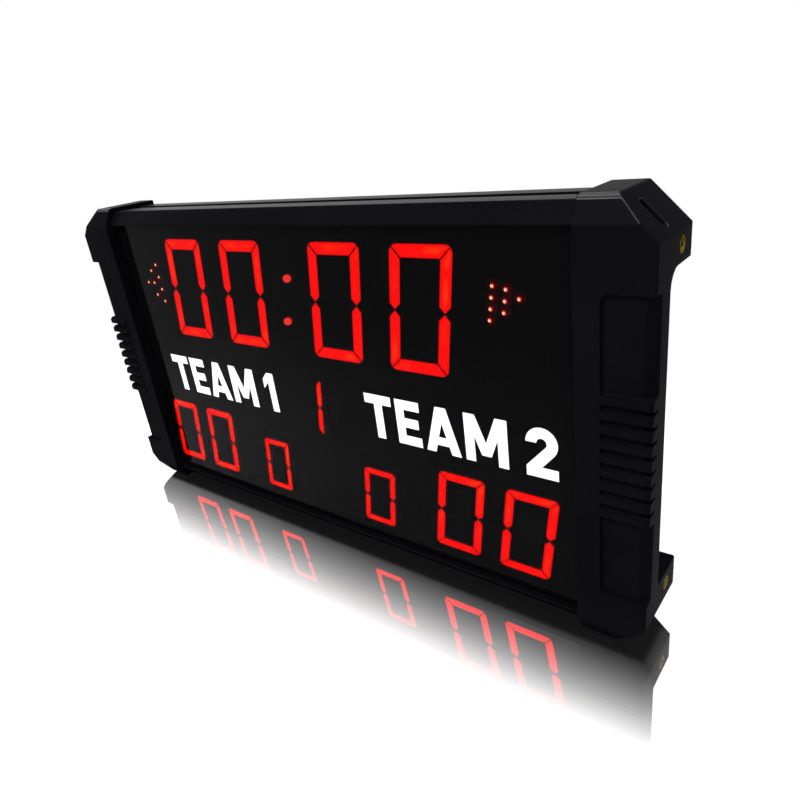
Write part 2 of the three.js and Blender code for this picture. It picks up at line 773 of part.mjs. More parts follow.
function backPanel() {
  const lowZ = windowLowZ + clearance;
  const highZ = windowTopZ - clearance;
  const legEnd = railLegHeight + clearance;
  const switchHole = aroundPoint(
    switchX,
    switchPlace.z,
    switchBody.width + 2 * clearance,
    switchBody.height + 2 * clearance,
  );
  const holes = [...ventSlots(), ...grilleHoles(), switchHole];
  for (const x of [-panelScrewX, panelScrewX]) {
    for (const z of panelScrewZ) {
      holes.push(arc(x, z, panelScrew.shank / 2 + clearance, 0, 330, 11));
    }
  }
  holes.push(arc(inletX, inlet.z, inlet.body / 2 + clearance, 0, 342, fine - 1));
  const sheet = cut(
    block([-bodyHalfWidth, bodyHalfWidth], [backInnerY, bodyBackY], [lowZ, highZ]),
    ...holes.map((hole) => runY(outline(hole), backInnerY - overrun, bodyBackY + overrun)),
  );
  const additions = [];
  for (const side of [-1, 1]) {
    const edges = [side * bodyHalfWidth, side * insideHalfWidth];
    const edgeX = [Math.min(...edges), Math.max(...edges)];
    const flangeY = [windowY + windowThickness + clearance, bodyBackY - backThickness / 2];
    additions.push(block(edgeX, flangeY, [windowLowZ + legEnd, windowTopZ - legEnd]));
  }
  for (const [x, z] of controlStudPlaces) {
    const studY = backInnerY - boardStud.length;
    additions.push(barY(x, z, boardStud.diameter, studY, bodyBackY - backThickness / 2));
    additions.push(barY(x, z, boardStud.pin, studY - boardStud.pinLength, backInnerY));
  }
  return surface(join(sheet, ...additions));
}

place("back_panel", backPanel(), paintedSheet);

// Seven-segment digits
function cornerArc(side, height, centre, radius, fromDegrees, toDegrees) {
  const points = arc(radius, radius, radius, fromDegrees, toDegrees, 3);
  return points.map(([s, d]) => [side * (centre - s), height - d]);
}

function segmentOutlines(kind) {
  const { width, height } = kind;
  const stroke = height * strokeShare;
  const gap = height * gapShare;
  const radius = stroke * cornerShare;
  const shift = gap * Math.SQRT1_2;
  const swing = THREE.MathUtils.radToDeg(Math.asin(shift / (radius * Math.SQRT2)));
  const [w, h] = [width / 2, height / 2];
  const outerEnd = (side) => cornerArc(side, h, w, radius, 270, 225 + swing);
  const upperEnd = (side) => cornerArc(side, h, w, radius, 180, 225 - swing);
  const top = [
    [w - stroke - shift, h - stroke],
    ...outerEnd(1).reverse(),
    ...outerEnd(-1),
    [-w + stroke + shift, h - stroke],
  ];
  const tip = stroke / 2 + gap / 2;
  const upperRight = [
    [w - stroke, tip],
    [w - stroke / 2, gap / 2],
    [w, tip],
    ...upperEnd(1),
    [w - stroke, h - stroke - shift],
  ];
  const reach = stroke / 2 + gap * (Math.SQRT2 - 1 / 2);
  const shoulder = reach + stroke / 2;
  const middle = [
    [-w + reach, 0],
    [-w + shoulder, -stroke / 2],
    [w - shoulder, -stroke / 2],
    [w - reach, 0],
    [w - shoulder, stroke / 2],
    [-w + shoulder, stroke / 2],
  ];
  const flipAcross = (points) => points.map(([a, b]) => [-a, b]).reverse();
  const flipUp = (points) => points.map(([a, b]) => [a, -b]).reverse();
  const upright = [
    top,
    upperRight,
    flipUp(upperRight),
    flipUp(top),
    flipUp(flipAcross(upperRight)),
    flipAcross(upperRight),
    middle,
  ];
  return upright.map((points) => points.map(([a, b]) => [a + digitLean * b, b]));
}

function digitCase(kind) {
  const [w, h] = [kind.caseWidth / 2, kind.caseHeight / 2];
  const rim = rectangle([-w, w], [-h, h]);
  const openings = segmentOutlines(kind).map((segment) => grow(segment, clearance));
  return surface(cut(
    runY(outline(rim), 0, kind.depth),
    runY(outline(grow(rim, -moduleWall)), moduleFace, kind.depth + overrun),
    ...openings.map((opening) => runY(outline(opening), -overrun, moduleFace + overrun)),
  ));
}

function digitLens(kind) {
  const w = kind.caseWidth / 2 - moduleWall - clearance;
  const h = kind.caseHeight / 2 - moduleWall - clearance;
  const plateY = moduleFace + clearance;
  const plate = block([-w, w], [plateY, plateY + lensPlate], [-h, h]);
  const segments = segmentOutlines(kind).map((segment) => (
    runY(outline(segment), lensSink, plateY + lensPlate / 2)
  ));
  return surface(join(plate, ...segments));
}

const caseShapes = {};
const lensShapes = {};
for (const [name, kind] of Object.entries(digitKinds)) {
  caseShapes[name] = digitCase(kind);
  lensShapes[name] = digitLens(kind);
}
for (const { name, kind, x, z } of digitPlaces) {
  place(`${name}_case`, caseShapes[kind], modulePlastic, [x, digitFaceY, z]);
  place(`${name}_lens`, lensShapes[kind], redLens, [x, digitFaceY, z]);
}

// Colon: two round lamps that stand on the clock board
const lampLength = clockBoardY - clearance - digitFaceY;

function colonLampShape() {
  const [r, collar] = [colonLamp.diameter / 2, colonLamp.collar / 2];
  const collarY = lampLength - colonLamp.collarHeight;
  const dome = arc(0, r, r, -90, 0).slice(1);
  return surface(turned([
    [0, 0],
    ...dome,
    [r, collarY],
    [collar, collarY],
    [collar, lampLength],
    [0, lampLength],
  ]));
}

const lampShape = colonLampShape();
for (const [level, sign] of [["lower", -1], ["upper", 1]]) {
  const x = clockCentreX + colonFromCentre.x + sign * colonLamp.spread;
  const z = clockZ + colonFromCentre.z + sign * colonLamp.rise;
  place(`colon_lamp_${level}`, lampShape, redLamp, [x, digitFaceY, z]);
}

// Arrows: round lamps in columns of four, three and one on a base, pointing away from the clock
function arrow(side, firstX, middleZ, shape) {
  const lamps = [];
  const r = arrowLamp.diameter / 2;
  const seatY = lampLength - arrowLamp.base;
  const rootY = seatY + arrowLamp.root;
  const dome = arc(0, r, r, -90, 0, 3).slice(1);
  arrowColumns.forEach((count, column) => {
    for (let row = 0; row < count; row += 1) {
      const step = row - (count - 1) / 2;
      lamps.push([
        firstX + side * shape.columnPitch * column + shape.spread * step,
        middleZ + shape.climb * column + shape.rowPitch * step,
      ]);
    }
  });
  const bulbs = lamps.map(([x, z]) => (
    turned([[0, 0], ...dome, [r, rootY], [0, rootY]], bulbSides).translate([x, 0, z])
  ));
  const [xs, zs] = [lamps.map(([x]) => x), lamps.map(([, z]) => z)];
  const base = block(
    [Math.min(...xs) - arrowLamp.margin, Math.max(...xs) + arrowLamp.margin],
    [seatY, lampLength],
    [Math.min(...zs) - arrowLamp.margin, Math.max(...zs) + arrowLamp.margin],
  );
  return surface(join(base, ...bulbs));
}

const guestArrowX = clockCaseRightX + guestArrow.gap;
const homeArrowShape = arrow(-1, homeArrowX, clockZ + homeArrow.above, homeArrow);
const guestArrowShape = arrow(1, guestArrowX, clockZ + guestArrow.above, guestArrow);
place("home_possession_lamps", homeArrowShape, redLamp, [0, digitFaceY, 0]);
place("guest_possession_lamps", guestArrowShape, redLamp, [0, digitFaceY, 0]);

// Circuit boards behind the digits, each with a driver chip behind every digit
const clockStandoffs = [];
for (const x of [clockBoard.left + standoffInset.x, clockBoard.right - standoffInset.x]) {
  for (const z of [clockBoard.low + standoffInset.z, clockBoard.high - standoffInset.z]) {
    clockStandoffs.push([x, z]);
  }
}
const foulToGapMiddle = (digitKinds.small.caseWidth + homeFoulGap) / 2;
const guestFoulToGapMiddle = (digitKinds.small.caseWidth + guestFoulGap) / 2;
const scoreStandoffs = [
  [scoreBoard.left + scoreStandoffInset.x, scoreBoard.high - scoreStandoffInset.z],
  [scoreBoard.right - scoreStandoffInset.x, scoreBoard.high - scoreStandoffInset.z],
  [homeFoulX - foulToGapMiddle, scoreBoard.low + scoreLowStandoffZ],
  [guestFoulX + guestFoulToGapMiddle, scoreBoard.low + scoreLowStandoffZ],
];

function circuitBoard(area, frontY, digits, standoffs) {
  const backFace = frontY + boardThickness;
  const sheet = block([area.left, area.right], [frontY, backFace], [area.low, area.high]);
  const holes = standoffs.map(([x, z]) => (
    barY(x, z, standoffStud + 2 * clearance, frontY - overrun, backFace + overrun)
  ));
  const chips = digits.map(({ x, z }) => block(
    [x - chip.width / 2, x + chip.width / 2],
    [backFace - boardThickness / 2, backFace + chip.thickness],
    [z - chip.height / 2, z + chip.height / 2],
  ));
  return surface(join(cut(sheet, ...holes), ...chips));
}

const clockDigits = digitPlaces.filter(({ kind }) => kind === "clock");
const otherDigits = digitPlaces.filter(({ kind }) => kind !== "clock");
const clockBoardShape = circuitBoard(clockBoard, clockBoardY, clockDigits, clockStandoffs);
const scoreBoardShape = circuitBoard(scoreBoard, scoreBoardY, otherDigits, scoreStandoffs);
place("clock_board", clockBoardShape, circuitGreen);
place("score_board", scoreBoardShape, circuitGreen);

// Hexagonal standoffs between the boards and the back
function standoff(boardY) {
  const fromY = boardThickness + clearance;
  const toY = backInnerY - clearance - boardY;
  const acrossCorners = standoffAcross / Math.cos(Math.PI / 6);
  const stud = barY(0, 0, standoffStud, fromY - standoffStudLength, fromY + overrun);
  return surface(join(barY(0, 0, acrossCorners, fromY, toY, 6), stud));
}

function placeStandoffs(name, boardY, places) {
  const shape = standoff(boardY);
  places.forEach(([x, z], i) => {
    place(`${name}_${i + 1}`, shape, nickel, [x, boardY, z]);
  });
}

placeStandoffs("clock_board_standoff", clockBoardY, clockStandoffs);
placeStandoffs("score_board_standoff", scoreBoardY, scoreStandoffs);

// Control board on the four studs of the back, and the radio board plugged on its front
function around(centre, length) {
  return [centre - length / 2, centre + length / 2];
}

function controlBoardBody() {
  const { x, z, width, height } = controlBoard;
  const backFace = controlBoardY + boardThickness;
  const sunk = controlBoardY + boardThickness / 2;
  const sheet = block(around(x, width), [controlBoardY, backFace], around(z, height));
  const holes = controlStudPlaces.map(([studX, studZ]) => (
    barY(studX, studZ, boardStud.pin + 2 * clearance, controlBoardY - overrun, backFace + overrun)
  ));
  const onFront = (centreX, centreZ, across, up, rise) => (
    block(around(centreX, across), [controlBoardY - rise, sunk], around(centreZ, up))
  );
  const at = ([acrossShare, upShare]) => [
    x + width * (acrossShare - 1 / 2),
    z + height * (upShare - 1 / 2),
  ];
  const parts = [];
  for (const [capacitorX, capacitorZ] of controlShares.capacitors.map(at)) {
    const frontY = controlBoardY - capacitor.height;
    parts.push(barY(capacitorX, capacitorZ, capacitor.diameter, frontY, sunk));
  }
  const { side, thickness } = microcontroller;
  parts.push(onFront(...at(controlShares.microcontroller), side, side, thickness));
  parts.push(onFront(...at(controlShares.header), header.width, header.height, header.rise));
  const [sinkX, sinkZ] = at(controlShares.heatSink);
  parts.push(onFront(sinkX, sinkZ, heatSink.base, heatSink.width, heatSink.rise));
  for (let i = 0; i < heatSink.fins; i += 1) {
    const pitch = (heatSink.width - heatSink.finThickness) / (heatSink.fins - 1);
    const finZ = sinkZ - heatSink.width / 2 + heatSink.finThickness / 2 + pitch * i;
    const { height: across, finThickness, rise } = heatSink;
    parts.push(onFront(sinkX + across / 2, finZ, across, finThickness, rise));
  }
  return surface(join(cut(sheet, ...holes), ...parts));
}

place("control_board", controlBoardBody(), circuitGreen);

function radioBoardBody() {
  const [acrossShare, upShare] = controlShares.radio;
  const centreX = controlBoard.x + controlBoard.width * (acrossShare - 1 / 2);
  const centreZ = controlBoard.z + controlBoard.height * (upShare - 1 / 2);
  const { width, height, stand, can, canHeight } = radioBoard;
  const backFace = controlBoardY - stand;
  const frontFace = backFace - boardThickness;
  const sheet = block(around(centreX, width), [frontFace, backFace], around(centreZ, height));
  const canBody = block(
    around(centreX, can),
    [frontFace - canHeight, frontFace + boardThickness / 2],
    around(centreZ, can),
  );
  const pins = block(
    around(centreX - width / 2 + header.height / 2, header.height),
    [frontFace + boardThickness / 2, controlBoardY - clearance],
    around(centreZ, can),
  );
  return surface(join(sheet, canBody, pins));
}

place("radio_board", radioBoardBody(), circuitGreen);

// Horn behind its grille
const hornY = backInnerY - clearance;
place("horn", surface(turned([
  [0, -horn.flangeThickness - horn.depth],
  [horn.body / 2, -horn.flangeThickness - horn.depth],
  [horn.body / 2, -horn.flangeThickness],
  [horn.flange / 2, -horn.flangeThickness],
  [horn.flange / 2, 0],
  [hornMouth.diameter / 2, 0],
  [hornMouth.throat / 2, -hornMouth.depth],
  [0, -hornMouth.depth],
])), blackPlastic, [hornX, hornY, horn.z]);

// Power inlet: a round jack with a pin in its bore
const outsideBackY = bodyBackY + clearance;
place("power_inlet", surface(turned([
  [0, inlet.flangeThickness - inlet.length],
  [inlet.body / 2, inlet.flangeThickness - inlet.length],
  [inlet.body / 2, 0],
  [inlet.flange / 2, 0],
  [inlet.flange / 2, inlet.flangeThickness],
  [inletBore.diameter / 2, inlet.flangeThickness],
  [inletBore.diameter / 2, inlet.flangeThickness - inletBore.depth],
  [inletBore.pin / 2, inlet.flangeThickness - inletBore.depth],
  [inletBore.pin / 2, inlet.flangeThickness - inletBore.pinSink],
  [0, inlet.flangeThickness - inletBore.pinSink],
])), blackPlastic, [inletX, outsideBackY, inlet.z]);

// Power switch: a housing through the back, and a rocker that turns on two stub pins
const rockerWidth = switchBody.width - 2 * (switchBody.wall + clearance);
const rockerAxisY = outsideBackY + switchBezel.thickness - rocker.axisSink;

function switchHousing() {
  const { width, height, depth, wall, cavity } = switchBody;
  const bezelY = switchBezel.thickness;
  const body = block(around(0, width), [-depth, bezelY / 2], around(0, height));
  const bezel = block(around(0, switchBezel.width), [0, bezelY], around(0, switchBezel.height));
  const inside = block(
    around(0, width - 2 * wall),
    [bezelY - cavity, bezelY + overrun],
    around(0, height - 2 * wall),
  );
  const reach = width / 2 - wall + rockerPin.boreDepth;
  const boreDiameter = rockerPin.diameter + 2 * clearance;
  const bore = barX(bezelY - rocker.axisSink, 0, boreDiameter, -reach, reach);
  return surface(cut(join(body, bezel), inside, bore));
}

function rockerShape() {
  const { reach, middle, belly } = rocker;
  const tip = middle + reach * Math.tan(THREE.MathUtils.degToRad(rockerTiltDegrees));
  const flank = [reach * rockerShares.flankReach, -belly * rockerShares.flankDepth];
  const bellyReach = reach * rockerShares.bellyReach;
  const section = [
    [-belly, -bellyReach],
    [-belly, bellyReach],
    [flank[1], flank[0]],
    [tip, reach],
    [middle, 0],
    [tip, -reach],
    [flank[1], -flank[0]],
  ].reverse();
  const body = runX(outline(section), -rockerWidth / 2, rockerWidth / 2);
  const pinReach = rockerWidth / 2 + rockerPin.length;
  const pin = barX(0, 0, rockerPin.diameter, -pinReach, pinReach);
  return surface(join(body, pin).rotate([-rockerTiltDegrees, 0, 0]));
}

const switchY = outsideBackY;
place("switch_housing", switchHousing(), blackPlastic, [switchX, switchY, switchPlace.z]);
const rockerPlace = [switchX, rockerAxisY, switchPlace.z];
place("switch_rocker", rockerShape(), blackPlastic, rockerPlace);

export default board;
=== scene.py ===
# %% [markdown]
# # A portable electronic scoreboard
#
# This notebook dresses a finished scoreboard model. The model arrives as plain, sharp-edged
# solids at their real size and place. Each chapter takes one piece of the real object, says
# what it is and how it could be made, and then makes it: rounded mouldings, brushed rails, a
# smoked window, glowing digits, lamps, screws and threaded inserts.
#
# Everything is in metres. +X is to the right as seen from the front, +Y is to the back, +Z is up.

# %% Load the solids
import json
import math

import bmesh
import bpy
from mathutils import Matrix, Vector


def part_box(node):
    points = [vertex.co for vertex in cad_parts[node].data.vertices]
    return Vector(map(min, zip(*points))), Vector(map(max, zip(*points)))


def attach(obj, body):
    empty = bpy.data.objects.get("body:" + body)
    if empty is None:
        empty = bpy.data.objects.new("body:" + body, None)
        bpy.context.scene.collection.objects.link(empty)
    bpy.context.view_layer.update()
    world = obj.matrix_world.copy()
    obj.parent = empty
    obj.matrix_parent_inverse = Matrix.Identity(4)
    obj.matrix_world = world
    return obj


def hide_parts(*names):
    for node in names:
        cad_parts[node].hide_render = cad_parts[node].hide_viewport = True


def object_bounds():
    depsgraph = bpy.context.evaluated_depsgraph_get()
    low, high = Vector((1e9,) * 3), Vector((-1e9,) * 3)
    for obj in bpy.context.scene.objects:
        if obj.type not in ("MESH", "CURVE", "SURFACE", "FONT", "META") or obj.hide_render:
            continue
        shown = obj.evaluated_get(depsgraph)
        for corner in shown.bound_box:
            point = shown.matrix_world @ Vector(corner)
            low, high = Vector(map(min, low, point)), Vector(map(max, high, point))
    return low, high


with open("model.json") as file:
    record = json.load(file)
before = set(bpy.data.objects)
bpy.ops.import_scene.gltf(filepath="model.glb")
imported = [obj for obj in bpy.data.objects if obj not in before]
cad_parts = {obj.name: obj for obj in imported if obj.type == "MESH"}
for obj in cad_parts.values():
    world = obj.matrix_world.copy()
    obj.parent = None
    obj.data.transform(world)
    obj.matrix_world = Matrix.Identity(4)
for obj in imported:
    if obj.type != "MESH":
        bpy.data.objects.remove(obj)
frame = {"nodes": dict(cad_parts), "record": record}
solid_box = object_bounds()
nodes = frame["nodes"]
MM = 0.001
print("solids", len(nodes), "box", [list(corner) for corner in solid_box])

# %% [markdown]
# ## The camera
#
# The picture looks at the board from the front right and a little above, rather close, so the
# near end looks much larger than the far end. A long lens would flatten that. The camera could
# be aimed at a point, but the picture is also a little rolled. So it is placed by a point and
# three angles: how far it is turned round the board, how far it looks down, and how far it is
# rolled about its own line of sight.

# %% Camera
CAMERA_PLACE = (424.95 * MM, -392.53 * MM, 382.33 * MM)
CAMERA_AZIMUTH = 40.73
CAMERA_ELEVATION = 23.651
CAMERA_ROLL = -7.706
CAMERA_LENS = 29.487
SENSOR_WIDTH = 36
NEAREST_SEEN = 10 * MM


def make_camera():
    data = bpy.data.cameras.new("camera")
    data.lens = CAMERA_LENS
    data.sensor_width = SENSOR_WIDTH
    data.sensor_fit = "HORIZONTAL"
    data.clip_start = NEAREST_SEEN
    camera = bpy.data.objects.new("camera", data)
    bpy.context.scene.collection.objects.link(camera)
    turn = Matrix.Rotation(math.radians(CAMERA_AZIMUTH), 4, "Z")
    look = Matrix.Rotation(math.radians(90 - CAMERA_ELEVATION), 4, "X")
    roll = Matrix.Rotation(math.radians(CAMERA_ROLL), 4, "Z")
    camera.matrix_world = Matrix.Translation(CAMERA_PLACE) @ turn @ look @ roll
    bpy.context.scene.camera = camera
    return camera


camera = make_camera()
print("camera at", [round(v, 3) for v in camera.matrix_world.translation])

# %% [markdown]
# ## Writing materials as sums
#
# A procedural material is a small circuit of nodes. Written out by hand it is long and hard to
# read, so three small classes do the wiring. `Signal` wraps one output and lets Python's own
# operators add Math nodes. `Wiring` is any node tree, and its `node` method makes any node.
# `Finish` is the wiring of one material.

# %% Outputs as numbers in a sum


class Signal:
    """One output of a node, usable in sums."""

    def __init__(self, wiring, socket):
        self.wiring = wiring
        self.socket = socket

    def math(self, operation, first, second=0.0):
        return self.wiring.node("ShaderNodeMath", {"operation": operation}, {0: first, 1: second})

    def __add__(self, other):
        return self.math("ADD", self, other)

    def __mul__(self, other):
        return self.math("MULTIPLY", self, other)

    def __sub__(self, other):
        return self.math("SUBTRACT", self, other)

    def __rsub__(self, other):
        return self.math("SUBTRACT", other, self)

    def __truediv__(self, other):
        return self.math("DIVIDE", self, other)

    __radd__ = __add__
    __rmul__ = __mul__

    def bounded(self):
        return self.math("MINIMUM", self.math("MAXIMUM", self, 0.0), 1.0)

    def over(self, level):
        return self.math("GREATER_THAN", self, level)


# %% Nodes on demand


class Wiring:
    """A node tree and a short way to add a node to it."""

    def __init__(self, tree):
        self.tree = tree

    def node(self, kind, settings=None, inputs=None, output=0):
        """Makes a node, with its settings first and then the values or links of its sockets."""
        made = self.tree.nodes.new(kind)
        for key, value in (settings or {}).items():
            if key == "stops":
                self.set_stops(made.color_ramp, value)
            else:
                setattr(made, key, value)
        for key, value in (inputs or {}).items():
            if isinstance(value, Signal):
                self.tree.links.new(value.socket, made.inputs[key])
            else:
                made.inputs[key].default_value = value
        return Signal(self, made.outputs[output]) if made.outputs else None

    @staticmethod
    def set_stops(ramp, stops):
        """Sets a ramp's stops. A level is a colour, or one number for a grey."""
        while len(ramp.elements) < len(stops):
            ramp.elements.new(1.0)
        for element, (place, level) in zip(ramp.elements, stops):
            element.position = place
            element.color = (*level, 1) if hasattr(level, "__len__") else (level, level, level, 1)


class Finish(Wiring):
    """One material, built node by node."""

    def __init__(self, name):
        self.material = bpy.data.materials.new(name)
        self.material.use_nodes = True
        super().__init__(self.material.node_tree)
        self.tree.nodes.clear()

    def place(self, stretch=(1, 1, 1)):
        point = self.node("ShaderNodeTexCoord", output="Object")
        if stretch == (1, 1, 1):
            return point
        return self.node("ShaderNodeMapping", inputs={"Vector": point, "Scale": stretch})

    def noise(self, scale, detail, stretch=(1, 1, 1)):
        return self.node("ShaderNodeTexNoise", inputs={
            "Vector": self.place(stretch), "Scale": scale, "Detail": detail})

    def ramp(self, signal, stops):
        return self.node("ShaderNodeValToRGB", {"stops": stops}, {"Fac": signal})

    def clouded(self, cloud, dark, light, start=0.3, end=0.7):
        """A colour that wanders between two tones."""
        return self.ramp(cloud, [(start, dark), (end, light)])

    def bump(self, height, depth):
        return self.node(
            "ShaderNodeBump", inputs={"Height": height, "Distance": depth}, output="Normal")

    def surface(self, **inputs):
        """A principled shader, its sockets named with underscores for spaces."""
        named = {key.replace("_", " "): value for key, value in inputs.items()}
        self.finish_with(self.node("ShaderNodeBsdfPrincipled", inputs=named))
        return self.material

    def finish_with(self, shader):
        self.node("ShaderNodeOutputMaterial", inputs={"Surface": shader})


# %% [markdown]
# ## Black plastic
#
# The end caps are moulded in a tool whose surface was eroded by sparks, which leaves a fine,
# even grain of about half a millimetre. The grain could be modelled, or wrapped round the cap as
# a picture. Seen from a step away it only softens the highlights, so a noise on the cap's own
# coordinates gives a shallow bump and a small change of roughness, without a seam. A low index
# of refraction keeps the black deep, and a higher one lets the edges of the brow catch the light.

# %% Plastics
CLOUD_SWING = 0.1
GRAIN_SWING = 0.06
CAP_BLACKS = ((0.0026, 0.0026, 0.0034), (0.0038, 0.0038, 0.0048))


def moulded_plastic(name, dark, light, rough, grain_depth, ior):
    finish = Finish(name)
    cloud = finish.noise(scale=14.0, detail=4.0)
    grain = finish.noise(scale=1900.0, detail=2.0)
    return finish.surface(
        Base_Color=finish.clouded(cloud, dark, light, start=0.35),
        Roughness=rough + cloud * CLOUD_SWING + grain * GRAIN_SWING,
        IOR=ior,
        Normal=finish.bump(grain, grain_depth),
    )


cap_plastic = moulded_plastic("cap_plastic", *CAP_BLACKS, rough=0.2, grain_depth=0.02 * MM, ior=1.02)
cap_edge_plastic = moulded_plastic(
    "cap_edge_plastic", *CAP_BLACKS, rough=0.26, grain_depth=0.005 * MM, ior=1.23)
module_plastic = moulded_plastic(
    "module_plastic", 0.0004, 0.0006, rough=0.5, grain_depth=0.002 * MM, ior=1.02)
black_plastic = moulded_plastic(
    "black_plastic", (0.006, 0.006, 0.0065), (0.010, 0.010, 0.011),
    rough=0.3, grain_depth=0.02 * MM, ior=1.3)
rocker_plastic = moulded_plastic(
    "rocker_plastic", (0.010, 0.010, 0.011), (0.014, 0.014, 0.015),
    rough=0.2, grain_depth=0.01 * MM, ior=1.45)
print("plastics", len(bpy.data.materials))

# %% [markdown]
# ## Anodised rails, painted sheet and plated metal
#
# A rail is pressed through a die, so its faces carry faint lines along its length. A picture of
# brushed metal would blur close up, and noise that is stretched along X gives the same lines at
# any distance. The back is powder coated: the coat dries with a soft, pebbled skin, which a
# larger and rounder bump gives. Screws, inserts and standoffs are turned and then plated. A
# noise varies their gloss. A fine cloud moves their colour between a dark and a light tone, a
# painted reflection of the room on their curves.

# %% Metals


def anodised_rail():
    finish = Finish("anodised_rail")
    lines = finish.noise(scale=1.0, detail=5.0, stretch=(6, 900, 900))
    cloud = finish.noise(scale=9.0, detail=3.0)
    return finish.surface(
        Base_Color=finish.clouded(cloud, (0.0020, 0.0020, 0.0025), (0.0030, 0.0030, 0.0036)),
        Roughness=0.16 + lines * 0.12,
        IOR=1.035,
        Normal=finish.bump(lines, 0.01 * MM),
    )


def powder_coat():
    finish = Finish("powder_coat")
    pebbles = finish.noise(scale=700.0, detail=2.0)
    cloud = finish.noise(scale=7.0, detail=4.0)
    return finish.surface(
        Base_Color=finish.clouded(cloud, (0.0040, 0.0040, 0.0044), (0.0058, 0.0058, 0.0063)),
        Roughness=0.42 + cloud * 0.14,
        IOR=1.12,
        Normal=finish.bump(pebbles, 0.12 * MM),
    )


def plated_metal(name, dark, light, rough, edge=(1, 1, 1)):
    finish = Finish(name)
    turning = finish.noise(scale=260.0, detail=4.0, stretch=(1, 6, 1))
    cloud = finish.noise(scale=420.0, detail=3.0)
    # The plating's tint is its own. The cloud between the dark and the light tone is a painted
    # reflection of the room.
    return finish.surface(
        Base_Color=finish.clouded(cloud, dark, light, start=0.36, end=0.66),
        Metallic=1.0,
        Specular_Tint=(*edge, 1),
        Roughness=rough + turning * 0.18,
        Normal=finish.bump(turning, 0.02 * MM),
    )


rail_metal = anodised_rail()
sheet_paint = powder_coat()
brass = plated_metal(
    "brass", (0.022, 0.017, 0.007), (0.21, 0.16, 0.062), rough=0.22, edge=(0.5, 0.44, 0.28))
black_steel = plated_metal("black_steel", (0.03, 0.03, 0.032), (0.06, 0.06, 0.064), rough=0.28)
black_nickel = plated_metal("black_nickel", 0.012, 0.02, rough=0.35)
print("with metals", len(bpy.data.materials))

# %% [markdown]
# ## The smoked window
#
# The window is a sheet of dark acrylic. It hides everything behind it that doesn't shine. Real
# refraction through it would be slow and would change nothing that shows, so the sheet is a
# glossy black whose two faces each let through a fixed share of what is behind, and the lamps
# are made brighter by the same factor. Faint polishing marks vary the gloss.
#
# Two kinds of light meet another sheet. Where the polished floor mirrors the window, the sheet
# is rough, so that a studio lamp that shines in it doesn't show twice. Light that has scattered
# off the floor sees a dull sheet, or the lamps' glints in it would speckle the floor.

# %% The smoked sheet
FACE_SHARE = 0.12
WINDOW_SHARE = FACE_SHARE ** 2
POLISH = 0.035
HAZE_SWING = 0.03
SMEAR_SWING = 0.02
MIRRORED_ROUGHNESS = 0.6


def smoked_acrylic():
    finish = Finish("smoked_acrylic")
    haze = finish.noise(scale=5.0, detail=3.0)
    smear = finish.noise(scale=40.0, detail=3.0, stretch=(1, 1, 3))
    mirrored = finish.node("ShaderNodeLightPath", output="Is Glossy Ray")
    marks = POLISH + haze * HAZE_SWING + smear * SMEAR_SWING
    sheet = finish.node("ShaderNodeBsdfPrincipled", inputs={
        "Base Color": (0.0015, 0.0015, 0.0017, 1),
        "Roughness": marks + mirrored * MIRRORED_ROUGHNESS,
        "IOR": 1.085,
        "Alpha": 1 - FACE_SHARE})
    dull = finish.node("ShaderNodeBsdfDiffuse", inputs={"Color": (0.01, 0.01, 0.01, 1)})
    scattered = finish.node("ShaderNodeLightPath", output="Is Diffuse Ray")
    finish.finish_with(finish.node("ShaderNodeMixShader", inputs={0: scattered, 1: sheet, 2: dull}))
    return finish.material


window_acrylic = smoked_acrylic()
print("the window lets through", round(WINDOW_SHARE, 4))

# %% [markdown]
# ### What shines behind it
#
# A lens is lit by small lamps behind it, brightest over them and darker at its rim. Real lamps
# behind a clear lens would be slow and grainy to render, so the lens itself glows, and a value
# named warmth on its mesh says how strongly.

# %% Lit and dark lenses


def glowing(name, stops, level, patches=0.0):
    """A lens lit from behind. The value warmth runs from its edge (0) to its middle (1), and
    level is how bright it looks through the window."""
    finish = Finish(name)
    warmth = finish.node("ShaderNodeAttribute", {"attribute_name": "warmth"}, output="Fac")
    cloud = finish.noise(scale=34.0, detail=2.0)
    patchy = warmth * (1 - 2 * patches) + warmth * cloud * (2 * patches)
    return finish.surface(
        Base_Color=(0.01, 0.0, 0.0, 1),
        Roughness=0.4 + cloud * CLOUD_SWING,
        IOR=1.1,
        Emission_Color=finish.ramp(patchy, stops),
        Emission_Strength=level / WINDOW_SHARE,
    )


def unlit_lens():
    finish = Finish("unlit_lens")
    cloud = finish.noise(scale=30.0, detail=3.0)
    return finish.surface(
        Base_Color=finish.clouded(cloud, (0.003, 0.0008, 0.0008), (0.005, 0.001, 0.001)),
        Roughness=0.45 + cloud * CLOUD_SWING,
        IOR=1.1,
    )


lit_lens = glowing("lit_lens", [
    (0.0, (0.72, 0.0, 0.0)), (0.2, (0.92, 0.001, 0.001)),
    (0.56, (0.95, 0.002, 0.001)), (0.75, (1.0, 0.035, 0.001))], level=1.12, patches=0.45)
colon_glow = glowing("colon_glow", [
    (0.0, (0.002, 0.0, 0.0)), (0.06, (0.78, 0.026, 0.02)), (1.0, (0.82, 0.028, 0.022))], level=1.0)
lamp_glow = glowing("lamp_glow", [
    (0.0, (0.001, 0.0, 0.0)), (0.62, (0.01, 0.0, 0.0)), (0.84, (0.5, 0.012, 0.005)),
    (0.92, (1.0, 0.16, 0.06)), (0.97, (1.0, 0.8, 0.62))], level=1.1)
# A painted glow: the disc round each lamp shines by itself, in place of the lamp's light scattered in
# the sheet.
lamp_halo = glowing("lamp_halo", [
    (0.0, (0.0006, 0.0, 0.0)), (0.4, (0.02, 0.0, 0.0)), (1.0, (0.3, 0.002, 0.002))], level=1.0)
dark_lens = unlit_lens()
print("with lenses", len(bpy.data.materials))

